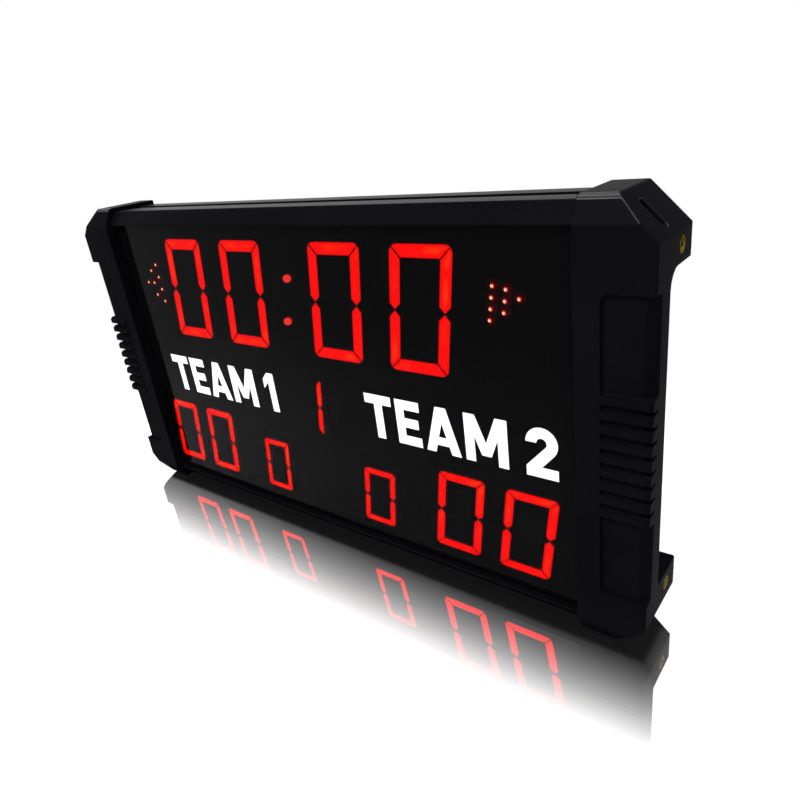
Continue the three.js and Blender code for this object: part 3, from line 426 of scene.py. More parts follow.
# %% [markdown]
# ## Print and circuit boards
#
# The words on the window are screen printed in a dense white ink, thinner than a hair, with a
# dull surface. The control board is seen only through the vents. Its green comes from a solder
# mask over copper tracks. Each track could be drawn, but through a vent two stretched noises
# look the same. The boards behind the digits have a black mask, so that nothing but the lamps
# shows through the window.

# %% Ink and laminate


def printed_ink():
    finish = Finish("white_ink")
    fibre = finish.noise(scale=900.0, detail=2.0)
    cloud = finish.noise(scale=20.0, detail=3.0)
    return finish.surface(
        Base_Color=finish.clouded(cloud, 0.93, 0.96),
        Roughness=0.5 + fibre * 0.1,
        Normal=finish.bump(fibre, 0.004 * MM),
    )


def solder_mask(name, laminate, track):
    finish = Finish(name)
    across = finish.noise(scale=1.0, detail=0.0, stretch=(12, 1, 420)).over(0.55)
    along = finish.noise(scale=1.0, detail=0.0, stretch=(420, 1, 12)).over(0.6)
    tracks = across.math("MAXIMUM", across, along)
    return finish.surface(
        Base_Color=finish.ramp(tracks, [(0.0, laminate), (1.0, track)]),
        Roughness=0.4 + tracks * 0.1,
        IOR=1.2,
        Normal=finish.bump(tracks, 0.03 * MM),
    )


white_ink = printed_ink()
board_green = solder_mask("green_mask", (0.006, 0.045, 0.018), (0.014, 0.1, 0.04))
board_black = solder_mask("black_mask", 0.0006, 0.001)
print("materials", len(bpy.data.materials))

# %% [markdown]
# ## Rounded copies of the solids
#
# Nothing that is moulded, pressed or cut has a perfectly sharp edge, and the thin bright line
# along an edge is what makes a black object readable. A solid can't be changed, so each visible
# one gets a rounded copy that stands for it. The copy is first merged, because its triangles are
# loose, and its flat faces are joined. A single bevel width would then crush small features or
# leave big edges sharp, so each sharp edge gets a weight: big edges are rounded generously, and
# those beside small features only a little.

# %% A merged copy with weighed edges
MERGE_REACH = 0.001 * MM
FLAT_DEGREES = 0.4
SMOOTH_DEGREES = 3
SHARP_DEGREES = 28


def merged_copy(name):
    copy = bmesh.new()
    copy.from_mesh(nodes[name].data)
    bmesh.ops.remove_doubles(copy, verts=copy.verts, dist=MERGE_REACH)
    bmesh.ops.dissolve_limit(
        copy, angle_limit=math.radians(FLAT_DEGREES), verts=copy.verts, edges=copy.edges)
    copy.normal_update()
    return copy


def weigh_edges(copy, width, share, choose):
    """Gives each sharp edge its own share of the width, bounded by the edges beside it."""
    layer = copy.edges.layers.float.new("bevel_weight_edge")
    for edge in copy.edges:
        if len(edge.link_faces) != 2 or edge.calc_face_angle(0.0) < math.radians(SHARP_DEGREES):
            continue
        beside = [e.calc_length() for v in edge.verts for e in v.link_edges
                  if e is not edge and e.calc_face_angle(0.0) > math.radians(SMOOTH_DEGREES)]
        room = min([*beside, edge.calc_length() * 2]) * share
        limit = choose(edge) if choose else width
        edge[layer] = min(limit, room) / width


def mesh_from(copy, name):
    mesh = bpy.data.meshes.new(name)
    copy.to_mesh(mesh)
    copy.free()
    return mesh


# %% From a mesh to a finished piece


def body_of(name):
    bodies = frame["record"]["behaviour"]["bodies"]
    return next(body for body, members in bodies.items() if name in members)


def new_piece(name, mesh, *materials):
    piece = bpy.data.objects.new(name, mesh)
    bpy.context.scene.collection.objects.link(piece)
    for material in materials:
        piece.data.materials.append(material)
    return piece


def settle(piece):
    """Turns the result of a piece's modifiers into its plain mesh."""
    bpy.context.view_layer.update()
    graph = bpy.context.evaluated_depsgraph_get()
    mesh = bpy.data.meshes.new_from_object(
        piece.evaluated_get(graph), preserve_all_data_layers=True, depsgraph=graph)
    piece.modifiers.clear()
    piece.data = mesh


def hand_over(piece, slot, *node_names):
    """The piece rides with its nodes' body and stands for them."""
    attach(piece, body_of(node_names[0]))
    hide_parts(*node_names)


def soften(name, slot, material, width, share=0.3, segments=3, choose=None, edges=None):
    """Stands a rounded copy in for a solid. The rounded edges can have their own material."""
    copy = merged_copy(name)
    weigh_edges(copy, width, share, choose)
    mesh = mesh_from(copy, f"{name}_rounded")
    piece = new_piece(f"{name}_rounded", mesh, material, *([edges] if edges else []))
    bevel = piece.modifiers.new("round", "BEVEL")
    bevel.material = 1 if edges else -1
    bevel.width = width
    bevel.segments = segments
    bevel.limit_method = "WEIGHT"
    bevel.use_clamp_overlap = False
    bevel.miter_outer = "MITER_ARC"
    mesh.shade_smooth()
    weighted = piece.modifiers.new("even", "WEIGHTED_NORMAL")
    weighted.keep_sharp = True
    settle(piece)
    print(name, "faces", len(piece.data.polygons))
    hand_over(piece, slot, name)
    return piece


# %% [markdown]
# ## End caps
#
# Each cap is one moulding that the hand grips. It could be rounded evenly all over, but the
# light shows a broad, soft brow along the front of its top and bottom, and crisper edges
# elsewhere. So every edge asks for its own width: 3.4 mm at the brow, 0.6 mm beside it, 1.4 mm
# at the other outer edges and 0.4 mm at the lip that covers the rails. The brow and the rim of
# the hanging slot have the plastic of an edge, and all other roundings that of the cap.

# %% Edges of a cap
BROW_ROUND = 3.4 * MM
BROW_SIDE_ROUND = 0.6 * MM
BROW_EDGE_REACH = 14 * MM
CAP_ROUND = 1.4 * MM
LIP_ROUND = 0.4 * MM
LIP_REACH = 6 * MM
LIP_SEAM = 1 * MM
CLOSE = 0.01 * MM
cap_low, cap_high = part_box("right_end_cap")


def near_brow(point):
    """Tells whether a point of a cap lies at the outer edges of its brow, at top or bottom."""
    from_end = min(cap_high.z - point.z, point.z - cap_low.z)
    from_front = point.y - cap_low.y
    from_lip = abs(point.x) - cap_low.x
    return from_end < BROW_EDGE_REACH and from_front < BROW_EDGE_REACH and from_lip > LIP_SEAM


def cap_edge(edge):
    """The brow over the front is rounded most, the lip that meets the rails least."""
    start, end = (vert.co for vert in edge.verts)
    middle = (start + end) / 2
    along_x = abs(start.z - end.z) < CLOSE and abs(start.y - end.y) < CLOSE
    at_end = middle.z > cap_high.z - CLOSE or middle.z < cap_low.z + CLOSE
    if along_x and at_end and middle.y < 0:
        return BROW_ROUND
    if abs(middle.x) < cap_low.x + LIP_REACH:
        return LIP_ROUND
    return BROW_SIDE_ROUND if near_brow(middle) else CAP_ROUND


# %% End caps
# Half the hanging slot's length and width, with its rim
SLOT_REACH = Vector((12.5 * MM, 4.6 * MM))
FACET_COSINE = 0.95


def in_slot(face, side):
    """Tells whether a face is part of the hanging slot's wall or rim. A face that looks straight
    outwards and up is the facet round the slot."""
    openings = frame["record"]["physics"]["openings"]
    low, high = next(hole["box_m"] for hole in openings if hole["name"] == f"{side}_hanging_slot")
    away = face.center - (Vector(low) + Vector(high)) / 2
    outward = Vector((-1 if side == "left" else 1, 0, 1)).normalized()
    along = outward.cross(Vector((0, 1, 0)))
    turned = abs(face.normal.dot(outward)) < FACET_COSINE
    return turned and abs(away.dot(along)) < SLOT_REACH.x and abs(away.y) < SLOT_REACH.y


for side in ("left", "right"):
    cap = soften(
        f"{side}_end_cap", "cap_plastic", cap_plastic, BROW_ROUND, segments=4, choose=cap_edge,
        edges=cap_edge_plastic)
    for face in cap.data.polygons:
        at_brow = face.material_index == 1 and near_brow(face.center)
        face.material_index = int(in_slot(face, side) or at_brow)

# %% [markdown]
# ## Rails and window
#
# The die rounds a rail's outer corners. A rail could be drawn again as a profile and extruded,
# but its solid has that profile already, so a rounded copy is enough. The top rail catches the
# light along its front edge in a soft line and is rounded more, the bottom one only a little.
# The window's edges are hidden in their slots, and so are those of the back, a punched sheet
# that keeps its solid.

# %% Rails and window
RAIL_ROUNDS = {"top": 1.2 * MM, "bottom": 0.3 * MM}
WINDOW_ROUND = 0.3 * MM
for level, rail_round in RAIL_ROUNDS.items():
    soften(f"{level}_rail", "anodised_rail", rail_metal, rail_round)
soften("front_window", "smoked_window", window_acrylic, WINDOW_ROUND)

# %% [markdown]
# ## Digits
#
# A display module is a black case with seven windows, and behind them one red diffuser that is
# lit from behind where a segment is on. The diffuser is brightest along the middle of a segment
# and falls off towards its edges. A flat, even red would look like paint. Each lens is a copy of
# its solid whose front faces are inset once, so that a value named warmth can rise from edge to
# core. The segments that are off get a dark lens. A nought leaves its middle segment dark, and a
# one lights only the right side.

# %% Which segments are on
MIDDLE_SEGMENT_SHARE = 0.1
RIGHT_SIDE_SHARE = 0.2
UPRIGHTS_SHARE = 0.75


def is_lit(centre, box_centre, half, shown):
    """Shares are of the lens plate's half width and half height, from its middle."""
    across = (centre.x - box_centre.x) / half.x
    up = abs(centre.z - box_centre.z) / half.z
    if shown == "one":
        return across > RIGHT_SIDE_SHARE and MIDDLE_SEGMENT_SHARE < up < UPRIGHTS_SHARE
    return up > MIDDLE_SEGMENT_SHARE


# %% Digit lenses
FRONT_REACH = 0.05 * MM
FRONT_COSINE = 0.99
STROKE_SHARE = 0.17
INSET_SHARE = 0.36


def lit_lens_piece(name, shown):
    low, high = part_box(name)
    centre = (low + high) / 2
    half = (high - low) / 2
    copy = merged_copy(name)
    warmth = copy.verts.layers.float.new("warmth")
    front = [f for f in copy.faces
             if f.normal.y < -FRONT_COSINE and f.calc_center_median().y < low.y + FRONT_REACH]
    for face in front:
        on = is_lit(face.calc_center_bounds(), centre, half, shown)
        walls = {f for e in face.edges for f in e.link_faces if f is not face}
        for part in [face, *walls]:
            part.material_index = int(on)
        if on:
            stroke = half.z * STROKE_SHARE
            bmesh.ops.inset_region(copy, faces=[face], thickness=stroke * INSET_SHARE)
            for vert in face.verts:
                vert[warmth] = 1.0
    piece = new_piece(f"{name}_shown", mesh_from(copy, f"{name}_shown"), dark_lens, lit_lens)
    hand_over(piece, "red_lens", name)


lenses = [name for name in sorted(nodes) if name.endswith("_lens")]
for name in lenses:
    lit_lens_piece(name, "one" if name.startswith("period") else "zero")
print("lenses", len(lenses))

# %% [markdown]
# ## Pieces that repeat
#
# The lamps of the arrows, the lamps of the colon, the screws and the threaded inserts are each
# one shape used several times. Each could be modelled once and copied by hand. Here each shape
# is a Geometry Nodes tree with named sizes, set on a small mesh of points, so that one tree
# serves every size. A point says where one copy stands, and its value turn says which way it
# faces. All shapes are drawn facing +Z and turned from there.

# %% A tree with named inputs


class Shape(Wiring):
    """A geometry tree that puts one shape on every point."""

    def __init__(self, name):
        super().__init__(bpy.data.node_groups.new(name, "GeometryNodeTree"))
        self.socket("Geometry", "Geometry", "OUTPUT")
        self.socket("Geometry", "Geometry")
        self.entry = self.tree.nodes.new("NodeGroupInput")

    def socket(self, name, kind, in_out="INPUT"):
        return self.tree.interface.new_socket(name, in_out=in_out, socket_type=f"NodeSocket{kind}")

    def size(self, name):
        self.socket(name, "Float")
        return Signal(self, self.entry.outputs[name])

    def material(self, name):
        self.socket(name, "Material")
        return Signal(self, self.entry.outputs[name])

    def vector(self, x=0.0, y=0.0, z=0.0):
        return self.node("ShaderNodeCombineXYZ", inputs={"X": x, "Y": y, "Z": z})

    def moved(self, shape, z=0.0, **more):
        return self.node("GeometryNodeTransform", inputs={
            "Geometry": shape, "Translation": self.vector(z=z), **more})

    def rod(self, radius, depth, low, sides=32, top=None):
        """A round bar along Z that starts at the height low, and tapers where top is given."""
        cone = self.node("GeometryNodeMeshCone", inputs={
            "Vertices": sides, "Radius Bottom": radius, "Radius Top": radius if top is None else top,
            "Depth": depth})
        return self.moved(cone, z=low)

    def ball(self, sides, rings):
        """A ball of radius 1, to be scaled."""
        return self.node("GeometryNodeMeshUVSphere", inputs={
            "Segments": sides, "Rings": rings, "Radius": 1.0})

    def box(self, x, y, z):
        return self.node("GeometryNodeMeshCube", inputs={"Size": self.vector(x, y, z)})

    def less(self, shape, *cutters):
        made = self.node("GeometryNodeMeshBoolean", {"operation": "DIFFERENCE"}, {"Mesh 1": shape})
        for cutter in cutters:
            self.tree.links.new(cutter.socket, made.socket.node.inputs["Mesh 2"])
        return made

    def both(self, *shapes):
        made = self.node("GeometryNodeJoinGeometry")
        for shape in shapes:
            self.tree.links.new(shape.socket, made.socket.node.inputs["Geometry"])
        return made

    def painted(self, shape, material):
        return self.node("GeometryNodeSetMaterial", inputs={"Geometry": shape, "Material": material})

    def warmed(self, shape, warmth):
        """Stores how brightly each point of a lamp glows."""
        return self.node(
            "GeometryNodeStoreNamedAttribute", {"data_type": "FLOAT", "domain": "POINT"},
            {"Geometry": shape, "Name": "warmth", "Value": warmth})

    def place_on_points(self, shape):
        turn = self.node(
            "GeometryNodeInputNamedAttribute", {"data_type": "FLOAT_VECTOR"}, {"Name": "turn"})
        rotation = self.node("FunctionNodeEulerToRotation", inputs={"Euler": turn})
        copies = self.node("GeometryNodeInstanceOnPoints", inputs={
            "Points": Signal(self, self.entry.outputs["Geometry"]),
            "Instance": shape, "Rotation": rotation})
        whole = self.node("GeometryNodeRealizeInstances", inputs={"Geometry": copies})
        self.node("NodeGroupOutput", inputs={"Geometry": whole})
        return self.tree


# %% Points that carry copies
FACING = {
    "front": (math.radians(90), 0, 0),
    "back": (math.radians(-90), 0, 0),
    "right": (0, math.radians(90), 0),
    "left": (0, math.radians(-90), 0),
}


def points_mesh(name, places, facings):
    mesh = bpy.data.meshes.new(name)
    mesh.from_pydata(places, [], [])
    turns = mesh.attributes.new("turn", "FLOAT_VECTOR", "POINT")
    for i, side in enumerate(facings):
        turns.data[i].vector = FACING[side]
    return mesh


def grow(name, tree, places, facings, values, *materials):
    """Puts a tree on points, sets its named inputs and keeps the result as a plain mesh."""
    piece = new_piece(name, points_mesh(name, places, facings), *materials)
    modifier = piece.modifiers.new("shape", "NODES")
    modifier.node_group = tree
    for socket in tree.interface.items_tree:
        if socket.name in values:
            modifier[socket.identifier] = values[socket.name]
    settle(piece)
    print(name, "copies", len(places), "faces", len(piece.data.polygons))
    return piece


# %% [markdown]
# ### Lamps
#
# A round lamp is a short clear cylinder with a domed tip. The tip is white hot in the middle and
# red round its rim. A real clear lamp would need refraction that the smoked sheet hides, so the
# dome glows by its height: the value warmth rises from its rim to its top. What spills out
# scatters in the smoked sheet just in front of it. A faint flat disc round the dome stands for
# that scattered light with a painted glow of its own.

# %% The shape of a lamp
LAMP_SIDES, LAMP_RINGS = 24, 16
RIM_MARGIN = 0.05
HALO_SINK = 0.4 * MM


def lamp_shape():
    """The cut is the height, on a ball of radius 1, at which the dome meets the cylinder."""
    shape = Shape("round_lamp")
    radius = shape.size("Radius")
    rise = shape.size("Dome Height")
    length = shape.size("Length")
    halo = shape.size("Halo Radius")
    lit = shape.material("Lit")
    cut = shape.size("Cut")
    spill = shape.material("Spill")
    point = shape.node("GeometryNodeInputPosition")
    height = shape.node("ShaderNodeSeparateXYZ", inputs={"Vector": point}, output="Z")
    below = height.math("LESS_THAN", height, cut - RIM_MARGIN)
    dome = shape.node("GeometryNodeDeleteGeometry", {"domain": "POINT"}, {
        "Geometry": shape.ball(LAMP_SIDES, LAMP_RINGS), "Selection": below})
    dome = shape.node("GeometryNodeSetShadeSmooth", inputs={"Geometry": dome})
    dome = shape.warmed(dome, (height - cut) / (1 - cut))
    dome = shape.moved(dome, Scale=shape.vector(radius, radius, rise))
    foot = cut * rise
    tube = shape.node("GeometryNodeMeshCylinder", {"fill_type": "NONE"}, {
        "Vertices": LAMP_SIDES, "Radius": radius, "Depth": length})
    tube = shape.warmed(shape.moved(tube, z=foot - length * 0.5), 0.0)
    # A painted glow: this disc gives off light itself, for the lamp's light scattered in the sheet.
    disc = shape.node("GeometryNodeMeshCircle", {"fill_type": "TRIANGLE_FAN"}, {
        "Vertices": LAMP_SIDES, "Radius": halo})
    across = shape.node("ShaderNodeVectorMath", {"operation": "LENGTH"}, {0: point}, output="Value")
    disc = shape.moved(shape.warmed(disc, 1 - across / halo), z=foot - HALO_SINK)
    lamp = shape.both(shape.painted(shape.both(dome, tube), lit), shape.painted(disc, spill))
    return shape.place_on_points(lamp)


lamp_tree = lamp_shape()
print("inputs of a lamp", [item.name for item in lamp_tree.interface.items_tree][2:])

# %% Lamps on their bases
ARROW_LAMP = {"radius": 2.7 * MM, "rise": 2.7 * MM, "cut": 0.0, "spread": 5.2 * MM, "base": 6.5 * MM}
COLON_LAMP = {"radius": 3.5 * MM, "rise": 3.5 * MM, "cut": -0.8, "spread": 5.4 * MM, "base": 2 * MM}


def dome_centres(name):
    """The middles of a node's round tips: the corners that reach farthest to the front."""
    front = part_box(name)[0].y + MERGE_REACH
    corners = [vert.co for vert in nodes[name].data.vertices]
    return sorted({(round(co.x, 5), round(co.z, 5)) for co in corners if co.y < front})


def lamp_group(name, kind, seat, lit):
    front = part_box(name)[0].y
    places = [(x, front + kind["rise"], z) for x, z in dome_centres(name)]
    length = seat - front - kind["rise"] * (1 - kind["cut"])
    return grow(f"{name}_lit", lamp_tree, places, ["front"] * len(places), {
        "Radius": kind["radius"], "Dome Height": kind["rise"], "Length": length, "Cut": kind["cut"],
        "Halo Radius": kind["spread"], "Lit": lit, "Spill": lamp_halo}, lit, lamp_halo)


def lamp_base(name, seat):
    low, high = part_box(name)
    base = bmesh.new()
    bmesh.ops.create_cube(base, size=1.0)
    centre = ((low.x + high.x) / 2, (seat + high.y) / 2, (low.z + high.z) / 2)
    size = (high.x - low.x, high.y - seat, high.z - low.z)
    bmesh.ops.transform(base, verts=base.verts, matrix=Matrix.LocRotScale(centre, None, size))
    return new_piece(f"{name}_base", mesh_from(base, f"{name}_base"), module_plastic)


for name, kind, lit in (
    ("home_possession_lamps", ARROW_LAMP, lamp_glow),
    ("guest_possession_lamps", ARROW_LAMP, lamp_glow),
    ("colon_lamp_lower", COLON_LAMP, colon_glow),
    ("colon_lamp_upper", COLON_LAMP, colon_glow),
):
    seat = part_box(name)[1].y - kind["base"]
    hand_over(lamp_group(name, kind, seat, lit), "red_lamp", name)
    hand_over(lamp_base(name, seat), "module_plastic", name)

# %% [markdown]
# ### Screws and inserts
#
# A screw has a domed head, a cone under it where it is countersunk, a shank, and a cross for the
# driver. An insert is a brass ring that is pressed into the plastic, with a chamfer at its mouth.
# Their solids are plain. A tree cuts the cross and the chamfer out of simple bodies, as a tool
# does, and both kinds of screw come out of one tree.

# %% The shape of a screw
HEAD_SIDES, HEAD_RINGS = 40, 20
SHANK_SIDES = 24
BLOCK_SPAN = 4
CROSS_SPAN = 1.1
CROSS_HEIGHT_SHARE = 0.75


def screw_shape():
    """A head is the upper half of a flattened ball, less a block below and a cross above."""
    shape = Shape("cross_head_screw")
    head = shape.size("Head Radius")
    dome = shape.size("Dome Height")
    cone = shape.size("Cone Height")
    shank = shape.size("Shank Radius")
    length = shape.size("Length")
    slot = shape.size("Slot Width")
    finish = shape.material("Finish")
    ball = shape.moved(shape.ball(HEAD_SIDES, HEAD_RINGS), Scale=shape.vector(head, head, dome))
    block = shape.box(head * BLOCK_SPAN, head * BLOCK_SPAN, dome * 2)
    under = shape.moved(block, z=dome * -1)
    reach = head * CROSS_SPAN
    arms = [shape.box(*sizes) for sizes in ((reach, slot, dome), (slot, reach, dome))]
    arms = [shape.moved(arm, z=dome * CROSS_HEIGHT_SHARE) for arm in arms]
    cap = shape.less(ball, under, *arms)
    neck = shape.rod(shank, cone, cone * -1, sides=HEAD_SIDES, top=head)
    stem = shape.rod(shank, length - cone, length * -1, sides=SHANK_SIDES)
    return shape.place_on_points(shape.painted(shape.both(cap, neck, stem), finish))


screw_tree = screw_shape()
print("inputs of a screw", [item.name for item in screw_tree.interface.items_tree][2:])

# %% Screws
SLOT_WIDTH = 1.1 * MM


def centres(names, face):
    """The middle of each node's outer face, on the side that face names."""
    places = []
    for name in names:
        low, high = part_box(name)
        middle = (low + high) / 2
        if face == "back":
            places.append((middle.x, high.y, middle.z))
        else:
            places.append((high.x if middle.x > 0 else low.x, middle.y, middle.z))
    return places


def screws(name, ending, dome, cone, shank):
    names = [node for node in sorted(nodes) if node.endswith(ending)]
    low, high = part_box(names[0])
    places = [(x, y - dome, z) for x, y, z in centres(names, "back")]
    piece = grow(name, screw_tree, places, ["back"] * len(places), {
        "Head Radius": (high.x - low.x) / 2, "Dome Height": dome, "Cone Height": cone,
        "Shank Radius": shank, "Length": high.y - low.y - dome, "Slot Width": SLOT_WIDTH,
        "Finish": black_steel}, black_steel)
    hand_over(piece, "black_steel", *names)


screws("cap_screw_heads", "_cap_screw", dome=0.6 * MM, cone=2.2 * MM, shank=2 * MM)
screws("back_screw_heads", "_back_screw", dome=1.8 * MM, cone=0.01 * MM, shank=1.5 * MM)

# %% Inserts
RING_SIDES = 48
BORE_RADIUS = 2.5 * MM
MOUTH_CHAMFER = 0.7 * MM


def insert_shape():
    """A ring, less a hole that overruns it by a tenth at both ends, and less a cone at its mouth
    that overruns the chamfer by half at both ends."""
    shape = Shape("threaded_insert")
    outer = shape.size("Outer Radius")
    bore = shape.size("Bore Radius")
    length = shape.size("Length")
    chamfer = shape.size("Chamfer")
    finish = shape.material("Finish")
    ring = shape.rod(outer, length, length * -1, sides=RING_SIDES)
    hole = shape.rod(bore, length * 1.2, length * -1.1)
    mouth = shape.rod(bore - chamfer * 0.5, chamfer * 2, chamfer * -1.5, top=bore + chamfer * 1.5)
    return shape.place_on_points(shape.painted(shape.less(ring, hole, mouth), finish))


inserts = [name for name in sorted(nodes) if name.endswith("_insert")]
insert_low, insert_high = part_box(inserts[0])
insert_facings = [name.split("_")[0] for name in inserts]
rings = grow("insert_rings", insert_shape(), centres(inserts, "side"), insert_facings, {
    "Outer Radius": (insert_high.z - insert_low.z) / 2, "Bore Radius": BORE_RADIUS,
    "Length": insert_high.x - insert_low.x, "Chamfer": MOUTH_CHAMFER, "Finish": brass}, brass)
hand_over(rings, "brass", *inserts)

# %% [markdown]
# ## Switch, inlet and horn
#
# The pieces on the back that a hand or a plug touches are mouldings with small rounded edges.
# Their solids have every step and opening already, so they too get rounded copies. The rocker
# stays a piece of its own, because it turns in its housing.

# %% Switch, inlet and horn
SMALL_SHARE = 0.28
INLET_ROUND = 0.4 * MM
SWITCH_ROUND = 0.5 * MM
HORN_ROUND = 0.6 * MM
soften("power_inlet", "black_plastic", black_plastic, INLET_ROUND, SMALL_SHARE)
soften("switch_housing", "black_plastic", black_plastic, SWITCH_ROUND, SMALL_SHARE)
soften("switch_rocker", "rocker_plastic", rocker_plastic, SWITCH_ROUND, SMALL_SHARE)
soften("horn", "black_plastic", black_plastic, HORN_ROUND)

# %% [markdown]
# ## Pieces that keep their solids
#
# The back is a thin sheet with sharp, punched holes, and the displays and boards are sealed
# between it and the window. Rounded copies would add thousands of faces that nobody sees, so
# these solids stay and only get their finish, by a part of their name.

# %% Finishes of the solids that stay
plain_finishes = {
    "back_panel": sheet_paint,
    "_case": module_plastic,
    "clock_board": board_black,
    "score_board": board_black,
    "control_board": board_green,
    "radio_board": board_green,
    "_standoff": black_nickel,
}


def paint(name, material):
    node = nodes[name]
    node.data.materials.clear()
    node.data.materials.append(material)


painted_nodes = set()
for name in nodes:
    for key, material in plain_finishes.items():
        if key in name:
            paint(name, material)
            painted_nodes.add(name)
print("painted solids", len(painted_nodes))

# %% [markdown]
# ## Words on the window
#
# Two generic words stand where the names of the sides would. A font would bring its own shapes
# and licence, so their letters are drawn here, in the heavy, even strokes of a road sign: each
# one is a closed outline worked out from the height of a capital and the width of a stroke, with
# a second outline where it has a hole. Each function takes a letter's width, its height and its
# stroke, and measures from its lower left corner.

# %% Letters
CAPITAL = 41 * MM
STROKE = 8.6 * MM
LETTER_GAP = 4.6 * MM
INK_DEPTH = 0.12 * MM
BAR_SHARE = 0.17


def letter_t(w, h, s):
    middle = w / 2
    return [[(0, h), (w, h), (w, h - s), (middle + s / 2, h - s), (middle + s / 2, 0),
             (middle - s / 2, 0), (middle - s / 2, h - s), (0, h - s)]]


def letter_e(w, h, s):
    arm = w * 0.92
    low, high = (h - s) / 2, (h + s) / 2
    return [[(0, 0), (w, 0), (w, s), (s, s), (s, low), (arm, low), (arm, high), (s, high),
             (s, h - s), (w, h - s), (w, h), (0, h)]]


def letter_a(w, h, s):
    peak = s * 0.58
    lean = (w / 2 - peak) / h
    foot = s * math.hypot(1, lean)
    low = h * BAR_SHARE
    high = low + s * 0.85
    meeting = (w / 2 - foot) / lean

    def inner(z):
        return lean * z + foot

    outside = [(0, 0), (w / 2 - peak, h), (w / 2 + peak, h), (w, 0), (w - foot, 0),
               (w - inner(low), low), (inner(low), low), (foot, 0)]
    hole = [(inner(high), high), (w - inner(high), high), (w / 2, meeting)]
    return [outside, hole]


def letter_m(w, h, s):
    shoulder = s * 1.15
    dip = h * 0.44
    slope = (h - dip) / (w / 2 - shoulder)
    drop = s * math.hypot(1, slope) * 0.92
    low = h * BAR_SHARE

    def under(x):
        return h - slope * (x - shoulder) - drop

    flat = (low - under(w / 2)) / slope
    return [[(0, 0), (0, h), (shoulder, h), (w / 2, dip), (w - shoulder, h), (w, h), (w, 0),
             (w - s, 0), (w - s, under(s)), (w / 2 + flat, low), (w / 2 - flat, low),
             (s, under(s)), (s, 0)]]


# %% Figures
TAIL_DEGREES = -38


def figure_1(w, h, s):
    stem = w - s
    fall = h * 0.17
    flag = s * 1.15
    return [[(stem, 0), (w, 0), (w, h), (stem, h), (0, h - fall), (0, h - fall - flag),
             (stem, h - flag)]]


def bow(x, z, radius, start, end, steps):
    turns = [math.radians(start + (end - start) * i / steps) for i in range(steps + 1)]
    return [(x + radius * math.cos(t), z + radius * math.sin(t)) for t in turns]


def figure_2(w, h, s):
    radius = w / 2
    centre = h - radius
    outer = bow(radius, centre, radius, 180, TAIL_DEGREES, steps=20)
    inner = bow(radius, centre, radius - s, TAIL_DEGREES, 180, steps=12)
    return [[*outer, (s * 1.45, s), (w, s), (w, 0), (0, 0), (0, s * 0.95), *inner]]


# Each letter with its width as a share of its height; a space is a width alone
LETTERS = {
    "T": (letter_t, 0.7),
    "E": (letter_e, 0.6),
    "A": (letter_a, 0.82),
    "M": (letter_m, 0.92),
    "1": (figure_1, 0.38),
    "2": (figure_2, 0.62),
    " ": (None, 0.14),
}
print("letters", len(LETTERS))

# %% Words
WORD_LOW = 126 * MM
WORDS = {"left_word": ("TEAM 1", -222 * MM), "right_word": ("TEAM 2", 64 * MM)}
window_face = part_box("front_window")[0].y


def add_outline(data, outline, left, low):
    spline = data.splines.new("POLY")
    spline.points.add(len(outline) - 1)
    spline.use_cyclic_u = True
    for point, (across, up) in zip(spline.points, outline):
        point.co = (left + across, low + up, 0, 1)


def word(name, text, left, low):
    """Prints a word on the window, from its lower left corner."""
    data = bpy.data.curves.new(name, "CURVE")
    data.dimensions = "2D"
    data.fill_mode = "BOTH"
    data.extrude = INK_DEPTH / 2
    for letter in text:
        draw, width_share = LETTERS[letter]
        width = width_share * CAPITAL
        for outline in draw(width, CAPITAL, STROKE) if draw else []:
            add_outline(data, outline, left, low)
        left += width + LETTER_GAP
    drawn = bpy.data.objects.new(name, data)
    bpy.context.scene.collection.objects.link(drawn)
    upright = Matrix.Rotation(math.radians(90), 4, "X")
    drawn.matrix_world = Matrix.Translation((0, window_face - INK_DEPTH / 2, 0)) @ upright
    bpy.context.view_layer.update()
    mesh = bpy.data.meshes.new_from_object(drawn.evaluated_get(bpy.context.evaluated_depsgraph_get()))
    mesh.transform(drawn.matrix_world)
    bpy.data.objects.remove(drawn)
    piece = new_piece(name, mesh, white_ink)
    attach(piece, "case")
    print(name, "ends at", round((left - LETTER_GAP) / MM, 1), "mm")


for name, (text, left) in WORDS.items():
    word(name, text, left, WORD_LOW)

# %% [markdown]
# ## The polished floor
#
# The board stands on a white, polished floor in front of plain white. Just in front of the board
# the floor mirrors it like glass, and the mirror image fades out within a hand's breadth. Far
# away the floor melts into the white behind it.
#
# A glossy white paint would mirror far too little from this height, so the floor mixes a mirror
# with a white veil. The veil thickens with the distance from the board, and is thicker at the
# left than at the right. It is thin in the last few millimetres, where the board keeps the light
# away. Under the board the floor is painted dark for every ray but the camera's, a painted shade,
# so that nothing pale shines up at the rails. Near the board the camera sees an even veil without
# grain, which glows by itself. Further out that passes over to the lit floor, which carries the
# board's shadow.

# %% Floor
LEFT_REACH, RIGHT_REACH = 98 * MM, 86 * MM
LEFT_VEIL, RIGHT_VEIL = 0.38, 0.19
CONTACT_VEIL = 0.1
CONTACT_REACH = 5 * MM
VEIL_POWER = 2.2
EVEN_REACH = 0.7
FAR_PER_METRE = 2.2
FAR_DELAY = 0.1
FLOOR_REACH = 12.0
WHITE = (1, 1, 1, 1)
case_corner = solid_box[1]


def along_axis(finish, axis):
    return finish.node("ShaderNodeSeparateXYZ", inputs={"Vector": finish.place()}, output=axis)


def distance_outside(finish, axis, half_width):
    """How far a point of the floor lies outside the board along one axis."""
    point = along_axis(finish, axis)
    return point.math("ABSOLUTE", point) - half_width


